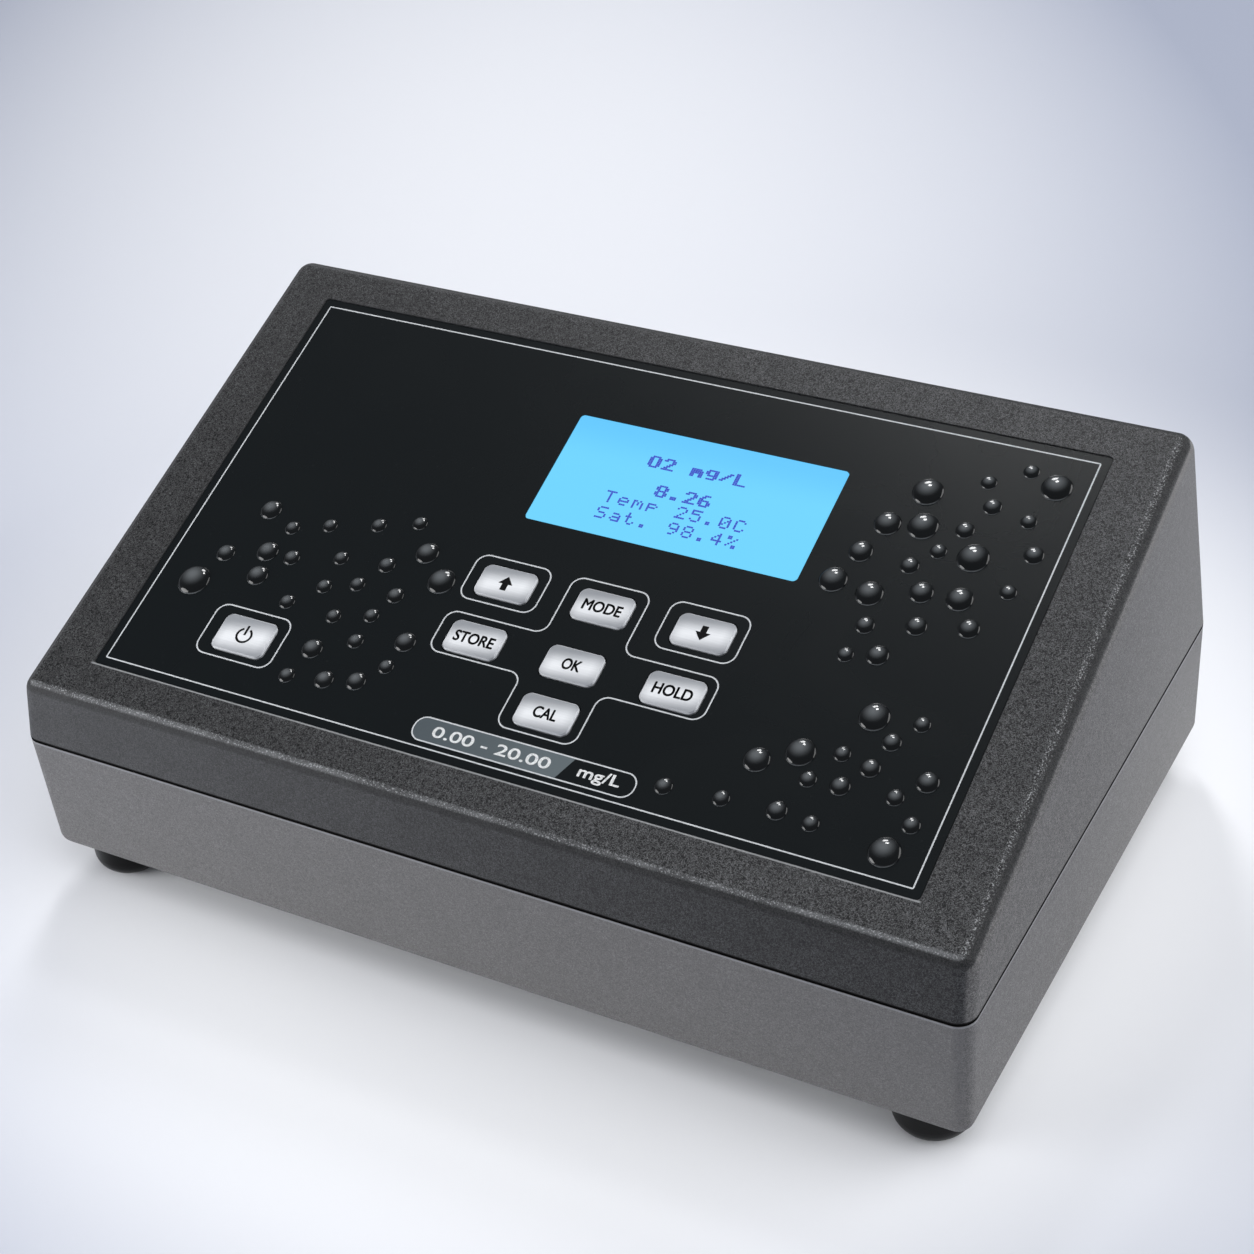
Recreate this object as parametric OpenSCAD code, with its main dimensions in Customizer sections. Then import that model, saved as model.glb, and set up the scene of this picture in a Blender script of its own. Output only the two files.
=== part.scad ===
// Benchtop dissolved oxygen meter: a sloped two-part case with a sunk control panel, a lit display,
// eight sprung keys and a row of sockets in the back wall.
// X runs to the right, Y from the front to the back, Z up from the surface that the feet stand on.
// The origin lies under the middle of the whole depth, from the front wall to the end of the probe socket.

/* [Case] */
// Width of the case at the seam
case_w = 250; // [240:1:290]
// Depth of the case at the seam
case_d = 152; // [148:1:180]
// Height of the base tray, from its underside to the seam
base_h = 35; // [34:1:50]
// Height of the cover's front wall above the seam, to its sharp edge
front_h = 15; // [14:0.5:22]
// Height of the cover's back wall above the seam, to its sharp edge
back_h = 62; // [58:1:74]
// Wall thickness of both mouldings
wall = 3; // [2.6:0.1:3.6]
// Lean of the cover's front wall, in degrees
front_lean = 12; // [6:1:16]
// Lean of the cover's back wall, in degrees
back_lean = 11; // [4:1:12]
// Lean of the cover's side walls, in degrees
side_lean = 1; // [0.5:0.5:2]
// Lean of the base tray's side walls, in degrees
base_lean = 1.6; // [0.5:0.1:2.5]
// Lean of the base tray's front and back walls, in degrees
base_end_lean = 0.2; // [0:0.1:1.5]
// Radius of the cover's top edges
top_edge_r = 4.5; // [4:0.1:6]
// Radius of the upright corners at the seam
corner_r = 4.5; // [4.2:0.1:7]
// Radius of the base tray's bottom edges
base_edge_r = 4; // [3.8:0.1:6]

/* [Seam] */
// Thickness of the base tray's tongue
tongue_t = 1.1; // [0.9:0.1:1.3]
// Height of the base tray's tongue
tongue_h = 2; // [1.5:0.1:3]
// Gap around the tongue
tongue_gap = 0.3; // [0.2:0.05:0.4]
// Height of the shadow line
shadow_h = 0.6; // [0.4:0.1:1]
// Depth of the shadow line
shadow_depth = 0.9; // [0.5:0.1:1]

/* [Feet and case screws] */
// Height of the feet below the base tray
foot_h = 10; // [8:0.5:14]
// Radius of a foot
foot_r = 9.6; // [8.5:0.1:10]
// Radius of a foot's rounded lower edge
foot_edge_r = 5; // [3:0.5:6]
// Distance from a foot's centre to the side of the case
foot_side = 14; // [13:0.5:18]
// Distance from a foot's centre to the front or back of the case
foot_end = 12.5; // [11.5:0.5:15]
// Length of the stem that plugs into the base tray
foot_stem_h = 6; // [4:0.5:8]
// Radius of the screw wells in the base tray
well_r = 3.5; // [3.2:0.1:3.8]
// Radius of the corner bosses
boss_r = 5.5; // [5.2:0.1:6.5]
// Length of the case screws below their heads
case_screw_l = 20; // [18:1:22]
// Share of a case screw that lies in the base tray
case_screw_grip = 10; // [8:1:11]
// Radius of the case screws
case_screw_r = 1.45; // [1.4:0.05:1.7]
// Thickness of the gussets that tie the bosses to the walls, and of the ribs
gusset_t = 1.6; // [1.2:0.1:2.2]
// Height of the ribs on the base tray's floor
floor_rib_h = 3; // [2:0.5:4]
// Reach of the ribs on the cover's side walls
wall_rib = 4; // [3:0.5:5]

/* [Control panel] */
// Width of the printed film
film_w = 216.6; // [212:0.2:222]
// Height of the printed film that the panel's layout is drawn for
draft_h = 120.3; // [118:0.1:124]
// Thickness of the printed film
film_t = 0.5; // [0.4:0.05:0.6]
// Corner radius of the printed film
film_r = 1; // [0.6:0.1:3]
// Depth of the cover's recess for the film
recess = 0.8; // [0.7:0.05:0.9]
// Gap around the film in its recess
film_gap = 0.25; // [0.1:0.05:0.4]
// Distance from the cover's sharp front edge to the film
film_start = 10.9; // [10:0.1:13]
// Distance from the film to the cover's sharp back edge
film_end = 13.4; // [12:0.1:15]

/* [Display] */
// Width of the clear window
window_w = 72.4; // [66:0.2:76]
// Height of the clear window
window_h = 33; // [30:0.5:35]
// Corner radius of the clear window
window_r = 1.2; // [0.8:0.1:3]
// Centre of the window to the right of the film's centre
window_x = 14.4; // [10:0.1:20]
// Centre of the window above the film's centre
window_y = 24.8; // [24:0.1:27]
// Width of the lens rim that lies under the film
lens_rim = 2; // [1.5:0.1:2.5]
// Thickness of the lens rim
lens_rim_t = 1.2; // [1:0.1:1.3]
// Gap around the lens
lens_gap = 0.15; // [0.1:0.05:0.3]
// Width of the glass beyond the window on each side
glass_margin = 4; // [3:0.5:5]
// Thickness of the display glass
glass_t = 2.2; // [1.8:0.1:2.6]
// Thickness of the light guide
light_t = 3; // [2.4:0.1:3.6]
// Wall of the display's steel frame
frame_t = 0.6; // [0.5:0.1:0.8]
// Room around the display's frame for a post and its screw
post_room = 6.6; // [6.4:0.1:8]

/* [Keys] */
// Width of a key
key_w = 14.6; // [13:0.1:15.5]
// Height of a key
key_h = 8.9; // [8:0.1:9.4]
// Width of the power key
power_w = 15; // [14:0.1:16.4]
// Height of the power key
power_h = 10.4; // [9:0.1:11.5]
// Corner radius of the keys
key_r = 2; // [1:0.1:3]
// Bevel around the top of the keys
key_bevel = 0.3; // [0.2:0.05:0.4]
// Gap around a key in the film and the cover
key_gap = 0.3; // [0.25:0.05:0.4]
// Height of a key above the film
key_rise = 0.45; // [0.45:0.05:0.8]
// Travel of a key
key_travel = 0.4; // [0.3:0.05:0.5]
// Centre of the middle column of keys, to the right of the film's centre
key_x = 9.4; // [8:0.1:12]
// Distance between the columns of keys
key_column = 26.2; // [25:0.1:27]
// Centre of the upper row below the film's centre
upper_row = 11; // [10.6:0.1:11.4]
// Centre of the middle row below the film's centre
middle_row = 27.6; // [26.8:0.1:28]
// Centre of the lowest key below the film's centre
lower_row = 41.4; // [40.6:0.1:42]
// Centre of the power key left of the film's centre
power_x = 73.9; // [73:0.1:77]
// Centre of the power key below the film's centre
power_y = 42.6; // [42:0.1:43.6]
// Width of the rim that keeps a key in the cover
rim_w = 1.4; // [1:0.1:1.6]
// Thickness of that rim
rim_t = 0.8; // [0.6:0.1:1]
// Width of a switch body
switch_w = 6; // [5.5:0.1:7]
// Height of a switch body
switch_h = 3; // [2.8:0.1:3.4]
// Radius of a switch plunger
plunger_r = 1.7; // [1.4:0.1:2]
// Length of a plunger above its switch body
plunger_out = 1.4; // [1.2:0.1:1.6]
// Height of the keypad board, up the slope, on a film of the drawn height
keypad_draft_h = 48; // [47.5:0.5:48.5]

/* [Boards] */
// Thickness of the circuit boards
board_t = 1.6; // [1.4:0.1:1.8]
// Width of the main board
board_w = 156; // [152:1:164]
// Depth of the main board
board_d = 90; // [86:1:96]
// Height of the standoffs under the main board
standoff_h = 6; // [5:0.5:7]
// Radius of the standoffs and of the posts under the panel
post_r = 3; // [2.8:0.1:3.2]
// Radius of the board screws
board_screw_r = 1.2; // [1.1:0.05:1.3]
// Length of the board screws below their heads
board_screw_l = 6; // [5.5:0.1:6.4]
// Width of a ribbon plug
plug_w = 20; // [18:0.5:22]
// Thickness of a ribbon cable
ribbon_t = 0.9; // [0.7:0.1:1.2]

/* [Rear sockets] */
// Width of the sunk field for the sockets
rear_w = 124; // [120:1:130]
// Height of the sunk field for the sockets
rear_h = 22; // [20:0.5:22.4]
// Depth of the sunk field below the seam's outline
rear_sink = 2.2; // [1.8:0.1:2.6]
// Thickness of the wall in the sunk field
rear_t = 2.8; // [2.4:0.1:3.2]
// Height of the sockets' axis above the main board
socket_up = 7; // [6.6:0.1:7.2]
// Distance from the outer sockets to the ends of the sunk field
socket_end = 17; // [16:0.5:20]
// Outer radius of the probe socket
probe_r = 4.8; // [4.75:0.05:4.9]
// Length of the probe socket beyond the wall
probe_l = 14; // [12:0.5:16]
// Bore radius of the probe socket
probe_bore_r = 3.6; // [3.5:0.05:3.8]
// Bore radius of the temperature socket
temp_bore_r = 1.8; // [1.75:0.01:1.85]
// Bore length of the temperature socket
temp_bore_l = 14.5; // [13:0.1:15]
// Outer radius of the temperature socket
temp_r = 3; // [2.9:0.05:3.2]
// Bore radius of the power jack
jack_bore_r = 3.15; // [3:0.05:3.3]
// Pin radius of the power jack
jack_pin_r = 1.05; // [0.95:0.05:1.25]
// Width of the data port's mouth
port_w = 8.6; // [8.4:0.1:9]
// Height of the data port's mouth
port_h = 7.8; // [7.6:0.1:8]

/* [Hidden] */

// Facets of a full circle
$fn = 64;
// Facets of the balls and discs inside a hull
hull_fn = 32;
// Overlap where one solid grows out of another, and overshoot of a cut
bite = 1;
// Thickness of the discs that carry a hull's edge
film_disc = 0.01;
// Gap between pieces that lie beside each other
clear = 0.3;

// Main heights and edges
seam_z = foot_h + base_h;
floor_z = foot_h + wall;
case_y = (rear_sink - probe_l) / 2;
case_front = case_y - case_d / 2;
case_back = case_y + case_d / 2;
front_edge = [case_front + front_h * tan(front_lean), seam_z + front_h];
back_edge = [case_back - back_h * tan(back_lean), seam_z + back_h];
slope = atan2(back_edge[1] - front_edge[1], back_edge[0] - front_edge[0]);

// Outward normals of the cover's walls in the Y-Z plane
n_front = [-cos(front_lean), sin(front_lean)];
n_top = [-sin(slope), cos(slope)];
n_back = [cos(back_lean), sin(back_lean)];

// Point that lies t inside both walls that meet at an edge
function inside(edge, n1, n2, t) = edge - t * (n1 + n2) / (1 + n1 * n2);
function cover_x(z) = case_w / 2 - (z - seam_z) * tan(side_lean) - top_edge_r / cos(side_lean);
base_ball_z = foot_h + base_edge_r;
base_in = (seam_z - base_ball_z) * tan(base_lean) + base_edge_r / cos(base_lean);
base_end_in = (seam_z - base_ball_z) * tan(base_end_lean) + base_edge_r / cos(base_end_lean);
cover_balls = [inside(front_edge, n_front, n_top, top_edge_r), inside(back_edge, n_back, n_top, top_edge_r)];

// Film between the cover's edges, in whole tenths, and the share by which the panel's layout follows it
film_h = round(10 * (norm(back_edge - front_edge) - film_start - film_end)) / 10;
panel_fit = film_h / draft_h;
film_centre = front_edge + (film_start + film_h / 2) * [cos(slope), sin(slope)];
view_h = window_h * panel_fit;
view_y = window_y * panel_fit;
key_up_h = key_h * panel_fit;
power_up_h = power_h * panel_fit;

// Point of the panel's own frame (up the slope, outward) in the Y-Z plane
function panel_point(y, z) = film_centre + y * [cos(slope), sin(slope)] + z * n_top;

// Heights in the panel's own frame, measured outward from the cover's surface
film_top = film_t - recess;
skin = -wall;
rim_top = skin - clear;
rim_bottom = rim_top - rim_t;
switch_top = rim_bottom - plunger_out;
keypad_top = switch_top - switch_h;
plunger_in = switch_h / 3;
plunger_gap = 0.1;
plunger_well = plunger_in + key_travel + clear;
keypad_bottom = keypad_top - board_t;
frame_top = skin - clear;
glass_top = frame_top - frame_t;
face_top = -recess - lens_rim_t - clear;
light_top = glass_top - glass_t;
display_top = light_top - light_t;
display_bottom = display_top - board_t;

// Keys: place and size in the panel's own frame
KEY_PLACES = [
    [-power_x, -power_y * panel_fit, power_w, power_up_h],
    [key_x - key_column, -upper_row * panel_fit, key_w, key_up_h],
    [key_x, -upper_row * panel_fit, key_w, key_up_h],
    [key_x + key_column, -upper_row * panel_fit, key_w, key_up_h],
    [key_x - key_column, -middle_row * panel_fit, key_w, key_up_h],
    [key_x, -middle_row * panel_fit, key_w, key_up_h],
    [key_x + key_column, -middle_row * panel_fit, key_w, key_up_h],
    [key_x, -lower_row * panel_fit, key_w, key_up_h]
];

// Display module: frame and board around the window's centre
glass_w = window_w + 2 * glass_margin;
glass_h = view_h + 2 * glass_margin;
frame_w = glass_w + 2 * (frame_t + clear);
frame_h = glass_h + 2 * (frame_t + clear);
display_board_w = frame_w + 2 * post_room;
display_board_h = frame_h + 2 * post_room;
display_post_x = display_board_w / 2 - post_r;
display_post_y = display_board_h / 2 - post_r;

// Keypad board: reaches past the outermost keys by a post on each side
keypad_left = -power_x - power_w / 2 - rim_w - clear - 2 * post_r;
keypad_right = key_x + key_column + key_w / 2 + rim_w + clear + 2 * post_r;
keypad_w = keypad_right - keypad_left;
keypad_x = (keypad_right + keypad_left) / 2;
keypad_board_h = keypad_draft_h * panel_fit;
keypad_y = view_y - display_board_h / 2 - 2 * clear - keypad_board_h / 2;
keypad_post_x = keypad_w / 2 - post_r;
keypad_post_y = keypad_board_h / 2 - post_r;

// Corner bosses, screws and feet
boss_x = case_w / 2 - foot_side;
boss_y = case_d / 2 - foot_end;
screw_seat = seam_z - case_screw_grip;
pilot_depth = case_screw_l - case_screw_grip + bite;
thread_gap = 0.05;
shank_gap = 0.25;
stem_gap = 0.1;
head_h = 2.2;
head_r = 2.8;
small_head_h = 1.4;
small_head_r = 2.3;

// Main board
board_bottom = floor_z + standoff_h;
board_top = board_bottom + board_t;
rear_out = case_back - rear_sink;
rear_in = rear_out - rear_t;
board_back = rear_in - clear;
board_front = board_back - board_d;
board_hole_x = board_w / 2 - 5;
board_hole_y = board_d / 2 - 5;
board_y = (board_back + board_front) / 2;

// Sockets in the back wall
socket_z = board_top + socket_up;
socket_pitch = (rear_w - 2 * socket_end) / 3;
jack_x = 1.5 * socket_pitch;
port_x = 0.5 * socket_pitch;
temp_x = -0.5 * socket_pitch;
probe_x = -1.5 * socket_pitch;
port_shell = 1;
hex_corner_r = 8.1;
washer_t = 0.6;
nut_t = 2.4;
temp_out = 4;
jack_r = 4;
body_depth = 14;

// Headers and ribbon cables
header_wall = 1.2;
header_h = 9;
header_floor = 2;
plug_d = 6;
plug_h = 10;
header_w = plug_w + 2 * (header_wall + clear);
header_d = plug_d + 2 * (header_wall + clear);
header_room = small_head_r + bite + header_w / 2;
display_ribbon_x = window_x - display_post_x + header_room;
keypad_ribbon_x = keypad_left + post_r + header_room + power_w;
display_header_y = view_y - display_board_h / 2 + header_d / 2 + clear;
keypad_header_y = keypad_y;
front_header_y = board_front + header_d;
ribbon_reach = 18;
ribbon_steps = 16;

// Plain shapes
module plate(w, d, r, h) {
    linear_extrude(h) {
        square([w - 2 * r, d], center = true);
        square([w, d - 2 * r], center = true);
        for (sx = [-1, 1], sy = [-1, 1]) translate([sx * (w / 2 - r), sy * (d / 2 - r)]) circle(r);
    }
}

module block(w, d, h) {
    translate([-w / 2, -d / 2, 0]) cube([w, d, h]);
}

module at_corners(x, y) {
    for (sx = [-1, 1], sy = [-1, 1]) translate([sx * x, sy * y, 0]) children();
}

module at_case_corners(x, y) {
    translate([0, case_y, 0]) at_corners(x, y) children();
}

module on_panel() {
    translate([0, film_centre[0], film_centre[1]]) rotate([slope, 0, 0]) children();
}

module at_window() {
    on_panel() translate([window_x, view_y, 0]) children();
}

module at_keypad() {
    on_panel() translate([keypad_x, keypad_y, 0]) children();
}

module at_socket(x, y) {
    translate([x, y, socket_z]) rotate([-90, 0, 0]) children();
}

// Outer form of the cover, drawn in by t on every wall and carried down past the seam by drop
module cover_form(t, drop) {
    hull() {
        for (sx = [-1, 1], c = cover_balls)
            translate([sx * cover_x(c[1]), c[0], c[1]]) sphere(top_edge_r - t, $fn = hull_fn);
        translate([0, 0, seam_z - drop])
            at_case_corners(case_w / 2 - corner_r, case_d / 2 - corner_r)
                cylinder(h = drop + film_disc, r = corner_r - t, $fn = hull_fn);
    }
}

// Outer form of the base tray, drawn in by t on every wall and carried up past the seam by rise
module base_form(t, rise) {
    hull() {
        translate([0, 0, base_ball_z])
            at_case_corners(case_w / 2 - base_in, case_d / 2 - base_end_in)
                sphere(base_edge_r - t, $fn = hull_fn);
        translate([0, 0, seam_z - film_disc])
            at_case_corners(case_w / 2 - corner_r, case_d / 2 - corner_r)
                cylinder(h = rise + film_disc, r = corner_r - t, $fn = hull_fn);
    }
}

// Slab with the seam's outline, drawn in by t
module seam_slab(t, z, h) {
    translate([0, case_y, z]) plate(case_w - 2 * t, case_d - 2 * t, corner_r - min(t, corner_r - bite), h);
}

// Round bosses at the corners with gussets out to the two walls
module corner_bosses(z, h, gusset_z, gusset_h) {
    at_case_corners(boss_x, boss_y) translate([0, 0, z]) cylinder(h = h, r = boss_r);
    for (sx = [-1, 1], sy = [-1, 1])
        translate([sx * boss_x, case_y + sy * boss_y, gusset_z]) {
            translate([sx * foot_side / 2, 0, 0]) block(foot_side, gusset_t, gusset_h);
            translate([0, sy * foot_end / 2, 0]) block(gusset_t, foot_end, gusset_h);
        }
}

// Ribs that stiffen the base tray's floor, clear of the standoffs
module floor_ribs() {
    translate([0, case_y, floor_z - bite]) {
        for (s = [-1, 1]) {
            translate([0, s * case_d / 6, 0]) block(case_w, gusset_t, bite + floor_rib_h);
            translate([s * board_w / 4, 0, 0]) block(gusset_t, case_d, bite + floor_rib_h);
        }
    }
}

// Upright ribs on the cover's side walls
module side_ribs() {
    for (sx = [-1, 1], i = [-1:1])
        translate([sx * (case_w / 2 - wall_rib), case_y + i * case_d / 5, seam_z + tongue_h + 2 * clear])
            block(2 * wall_rib, gusset_t, back_h);
}

module round_screw(r, l, head_r, head_h) {
    slot_w = head_r * 0.3;
    difference() {
        union() {
            mirror([0, 0, 1]) cylinder(h = l, r = r);
            cylinder(h = head_h * 0.55, r = head_r);
            translate([0, 0, head_h * 0.55]) cylinder(h = head_h * 0.45, r1 = head_r, r2 = head_r * 0.7);
        }
        translate([0, 0, head_h * 0.4]) {
            block(head_r * 1.2, slot_w, head_h);
            block(slot_w, head_r * 1.2, head_h);
        }
    }
}

// Opening for a key, in the panel's own frame
module key_opening(k, from, h) {
    translate([k[0], k[1], from]) plate(k[2] + 2 * key_gap, k[3] + 2 * key_gap, key_r + key_gap, h);
}

// Housing
module top_cover() {
    tongue_room = tongue_h + clear;
    lens_w = window_w + 2 * (lens_rim + lens_gap);
    lens_h = view_h + 2 * (lens_rim + lens_gap);
    color("#3f4143") difference() {
        union() {
            difference() {
                cover_form(0, 0);
                cover_form(wall, bite);
                seam_slab(wall - tongue_t - 2 * tongue_gap, seam_z - bite, bite + tongue_room);
            }
            intersection() {
                cover_form(wall - bite, 0);
                union() {
                    corner_bosses(seam_z, back_h, seam_z + tongue_room + clear, back_h / 4);
                    side_ribs();
                    at_window() translate([0, 0, display_top]) at_corners(display_post_x, display_post_y)
                        cylinder(h = bite - wall - display_top, r = post_r);
                    at_keypad() translate([0, 0, keypad_top]) at_corners(keypad_post_x, keypad_post_y)
                        cylinder(h = bite - wall - keypad_top, r = post_r);
                }
            }
        }
        on_panel() translate([0, 0, -recess])
            plate(film_w + 2 * film_gap, film_h + 2 * film_gap, film_r + film_gap, recess + bite);
        at_window() {
            translate([0, 0, -recess - lens_rim_t - lens_gap])
                plate(lens_w, lens_h, window_r + lens_rim, lens_rim_t + lens_gap + bite / 2);
            translate([0, 0, -wall - bite]) plate(window_w, view_h, window_r, wall + bite);
            translate([0, 0, display_top - bite]) at_corners(display_post_x, display_post_y)
                cylinder(h = board_screw_l - board_t + 2 * bite, r = board_screw_r + thread_gap);
        }
        at_keypad() translate([0, 0, keypad_top - bite]) at_corners(keypad_post_x, keypad_post_y)
            cylinder(h = board_screw_l - board_t + 2 * bite, r = board_screw_r + thread_gap);
        on_panel() for (k = KEY_PLACES) key_opening(k, -wall - bite, wall + bite);
        at_case_corners(boss_x, boss_y) translate([0, 0, seam_z - bite])
            cylinder(h = bite + pilot_depth, r = case_screw_r + thread_gap);
    }
}

module base_tray() {
    gusset_h = base_h - wall - tongue_h;
    color("#6e7072") difference() {
        union() {
            difference() {
                base_form(0, 0);
                base_form(wall, bite);
            }
            difference() {
                seam_slab(wall - tongue_t, seam_z - bite, bite + tongue_h);
                seam_slab(wall - thread_gap, seam_z - 2 * bite, 3 * bite + tongue_h);
            }
            intersection() {
                base_form(wall - bite, 0);
                union() {
                    corner_bosses(foot_h, base_h, foot_h, gusset_h);
                    floor_ribs();
                    translate([0, board_y, floor_z - bite]) at_corners(board_hole_x, board_hole_y)
                        cylinder(h = bite + standoff_h, r = post_r);
                    translate([-rear_w / 2 - wall, rear_in, foot_h])
                        cube([rear_w + 2 * wall, case_back - rear_in, base_h - bite]);
                }
            }
        }
        seam_shadow();
        at_case_corners(boss_x, boss_y) {
            translate([0, 0, foot_h - bite]) cylinder(h = screw_seat - foot_h + bite, r = well_r);
            translate([0, 0, screw_seat - bite])
                cylinder(h = case_screw_grip + 2 * bite, r = case_screw_r + shank_gap);
        }
        translate([0, board_y, board_bottom - board_screw_l]) at_corners(board_hole_x, board_hole_y)
            cylinder(h = board_screw_l + bite, r = board_screw_r + thread_gap);
        translate([-rear_w / 2, rear_out, socket_z - rear_h / 2]) cube([rear_w, rear_sink + bite, rear_h]);
        socket_hole(probe_x) cylinder(h = rear_t + 2 * bite, r = probe_r + thread_gap);
        socket_hole(temp_x) cylinder(h = rear_t + 2 * bite, r = temp_r + thread_gap);
        socket_hole(jack_x) cylinder(h = rear_t + 2 * bite, r = jack_r + shank_gap);
        socket_hole(port_x) linear_extrude(rear_t + 2 * bite) port_outline(port_shell + clear);
    }
}

// Groove that leaves a dark line around the seam
module seam_shadow() {
    difference() {
        seam_slab(-bite, seam_z - shadow_h, shadow_h);
        seam_slab(shadow_depth, seam_z - shadow_h - bite, shadow_h + 2 * bite);
    }
}

module socket_hole(x) {
    at_socket(x, rear_in - bite) children();
}

// Control panel
module front_film() {
    color("#15181a") on_panel() difference() {
        translate([0, 0, -recess]) plate(film_w, film_h, film_r, film_t);
        translate([window_x, view_y, -recess - bite])
            plate(window_w, view_h, window_r, film_t + 2 * bite);
        for (k = KEY_PLACES) key_opening(k, -recess - bite, film_t + 2 * bite);
    }
}

module display_lens() {
    face_w = window_w - 2 * lens_gap;
    face_h = view_h - 2 * lens_gap;
    color("#bfe4f5") at_window() {
        translate([0, 0, -recess - lens_rim_t])
            plate(window_w + 2 * lens_rim, view_h + 2 * lens_rim, window_r + lens_rim, lens_rim_t);
        translate([0, 0, -recess - lens_rim_t / 2])
            plate(face_w, face_h, window_r - lens_gap, film_t + lens_rim_t / 2);
    }
}

module display_frame() {
    color("#b9bcc0") at_window() difference() {
        translate([0, 0, display_top]) plate(frame_w, frame_h, bite, frame_top - display_top);
        translate([0, 0, display_top - bite])
            block(frame_w - 2 * frame_t, frame_h - 2 * frame_t, glass_top - display_top + bite);
        translate([0, 0, glass_top - bite]) plate(window_w + 2, view_h + 2, window_r, frame_t + 2 * bite);
    }
}

// The glass fills the frame, and its raised face stands in the window just under the lens
module display_glass() {
    color("#6fd2ff") at_window() {
        translate([0, 0, light_top]) block(glass_w, glass_h, glass_t);
        translate([0, 0, glass_top - bite])
            plate(window_w - 2 * clear, view_h - 2 * clear, window_r - clear, face_top - glass_top + bite);
    }
}

module display_light_guide() {
    color("#eef4f7") at_window() translate([0, 0, display_top]) block(glass_w, glass_h, light_t);
}

module display_board() {
    color("#2f6b45") at_window() difference() {
        translate([0, 0, display_bottom]) plate(display_board_w, display_board_h, bite, board_t);
        translate([0, 0, display_bottom - bite]) at_corners(display_post_x, display_post_y)
            cylinder(h = board_t + 2 * bite, r = board_screw_r + shank_gap);
    }
}

module display_screws() {
    color("silver") at_window() translate([0, 0, display_bottom]) at_corners(display_post_x, display_post_y)
        mirror([0, 0, 1]) round_screw(board_screw_r, board_screw_l, small_head_r, small_head_h);
}

module keypad_board() {
    color("#2f6b45") at_keypad() difference() {
        translate([0, 0, keypad_bottom]) plate(keypad_w, keypad_board_h, bite, board_t);
        translate([0, 0, keypad_bottom - bite]) at_corners(keypad_post_x, keypad_post_y)
            cylinder(h = board_t + 2 * bite, r = board_screw_r + shank_gap);
    }
}

module keypad_screws() {
    color("silver") at_keypad() translate([0, 0, keypad_bottom]) at_corners(keypad_post_x, keypad_post_y)
        mirror([0, 0, 1]) round_screw(board_screw_r, board_screw_l, small_head_r, small_head_h);
}

module switch_bodies() {
    color("#2a2c2e") on_panel() for (k = KEY_PLACES) translate([k[0], k[1], keypad_top]) difference() {
        block(switch_w, switch_w, switch_h);
        translate([0, 0, switch_h - plunger_well])
            cylinder(h = plunger_well + bite, r = plunger_r + plunger_gap);
    }
}

module key(i) {
    k = KEY_PLACES[i];
    top = film_top + key_rise;
    color("#d5d8dc") on_panel() translate([k[0], k[1], 0]) {
        translate([0, 0, rim_bottom]) plate(k[2] + 2 * rim_w, k[3] + 2 * rim_w, key_r + rim_w, rim_t);
        translate([0, 0, rim_bottom]) plate(k[2], k[3], key_r, top - key_bevel - rim_bottom);
        hull() {
            translate([0, 0, top - key_bevel - film_disc]) plate(k[2], k[3], key_r, film_disc, $fn = hull_fn);
            translate([0, 0, top - film_disc])
                plate(k[2] - 2 * key_bevel, k[3] - 2 * key_bevel, key_r - key_bevel, film_disc, $fn = hull_fn);
        }
    }
}

module plunger(i) {
    k = KEY_PLACES[i];
    color("#e8e4d8") on_panel() translate([k[0], k[1], switch_top - plunger_in])
        cylinder(h = plunger_in + plunger_out, r = plunger_r);
}

module key_power() { key(0); }
module key_up() { key(1); }
module key_mode() { key(2); }
module key_down() { key(3); }
module key_store() { key(4); }
module key_ok() { key(5); }
module key_hold() { key(6); }
module key_cal() { key(7); }
module plunger_power() { plunger(0); }
module plunger_up() { plunger(1); }
module plunger_mode() { plunger(2); }
module plunger_down() { plunger(3); }
module plunger_store() { plunger(4); }
module plunger_ok() { plunger(5); }
module plunger_hold() { plunger(6); }
module plunger_cal() { plunger(7); }

// Headers and ribbon cables: a header stands on Z = 0 and its plug stands in it
module header() {
    difference() {
        block(header_w, header_d, header_h);
        translate([0, 0, header_floor]) block(header_w - 2 * header_wall, header_d - 2 * header_wall, header_h);
        translate([0, -header_d / 2, header_h / 2]) block(plug_w / 5, header_d, header_h);
    }
}

module plug() {
    translate([0, 0, header_floor]) block(plug_w, plug_d, plug_h);
}

module at_display_header() {
    on_panel() translate([display_ribbon_x, display_header_y, display_bottom]) mirror([0, 0, 1]) children();
}

module at_keypad_header() {
    on_panel() translate([keypad_ribbon_x, keypad_header_y, keypad_bottom]) mirror([0, 0, 1]) children();
}

module at_board_headers() {
    for (x = [display_ribbon_x, keypad_ribbon_x]) translate([x, front_header_y, board_top]) children();
}

module panel_headers() {
    color("#2b2d30") {
        at_display_header() header();
        at_keypad_header() header();
    }
}

module board_headers() {
    color("#2b2d30") at_board_headers() header();
}

module ribbon_plugs() {
    color("#3a3d40") {
        at_display_header() plug();
        at_keypad_header() plug();
        at_board_headers() plug();
    }
}

// Curve from a plug under the panel to its plug on the main board, in the Y-Z plane
function curve_point(a, b, c, d, t) =
    pow(1 - t, 3) * a + 3 * t * pow(1 - t, 2) * b + 3 * t * t * (1 - t) * c + pow(t, 3) * d;
function curve_slope(a, b, c, d, t) =
    pow(1 - t, 2) * (b - a) + 2 * t * (1 - t) * (c - b) + t * t * (d - c);
function side_of(v) = [-v[1], v[0]] / norm(v);

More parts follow.
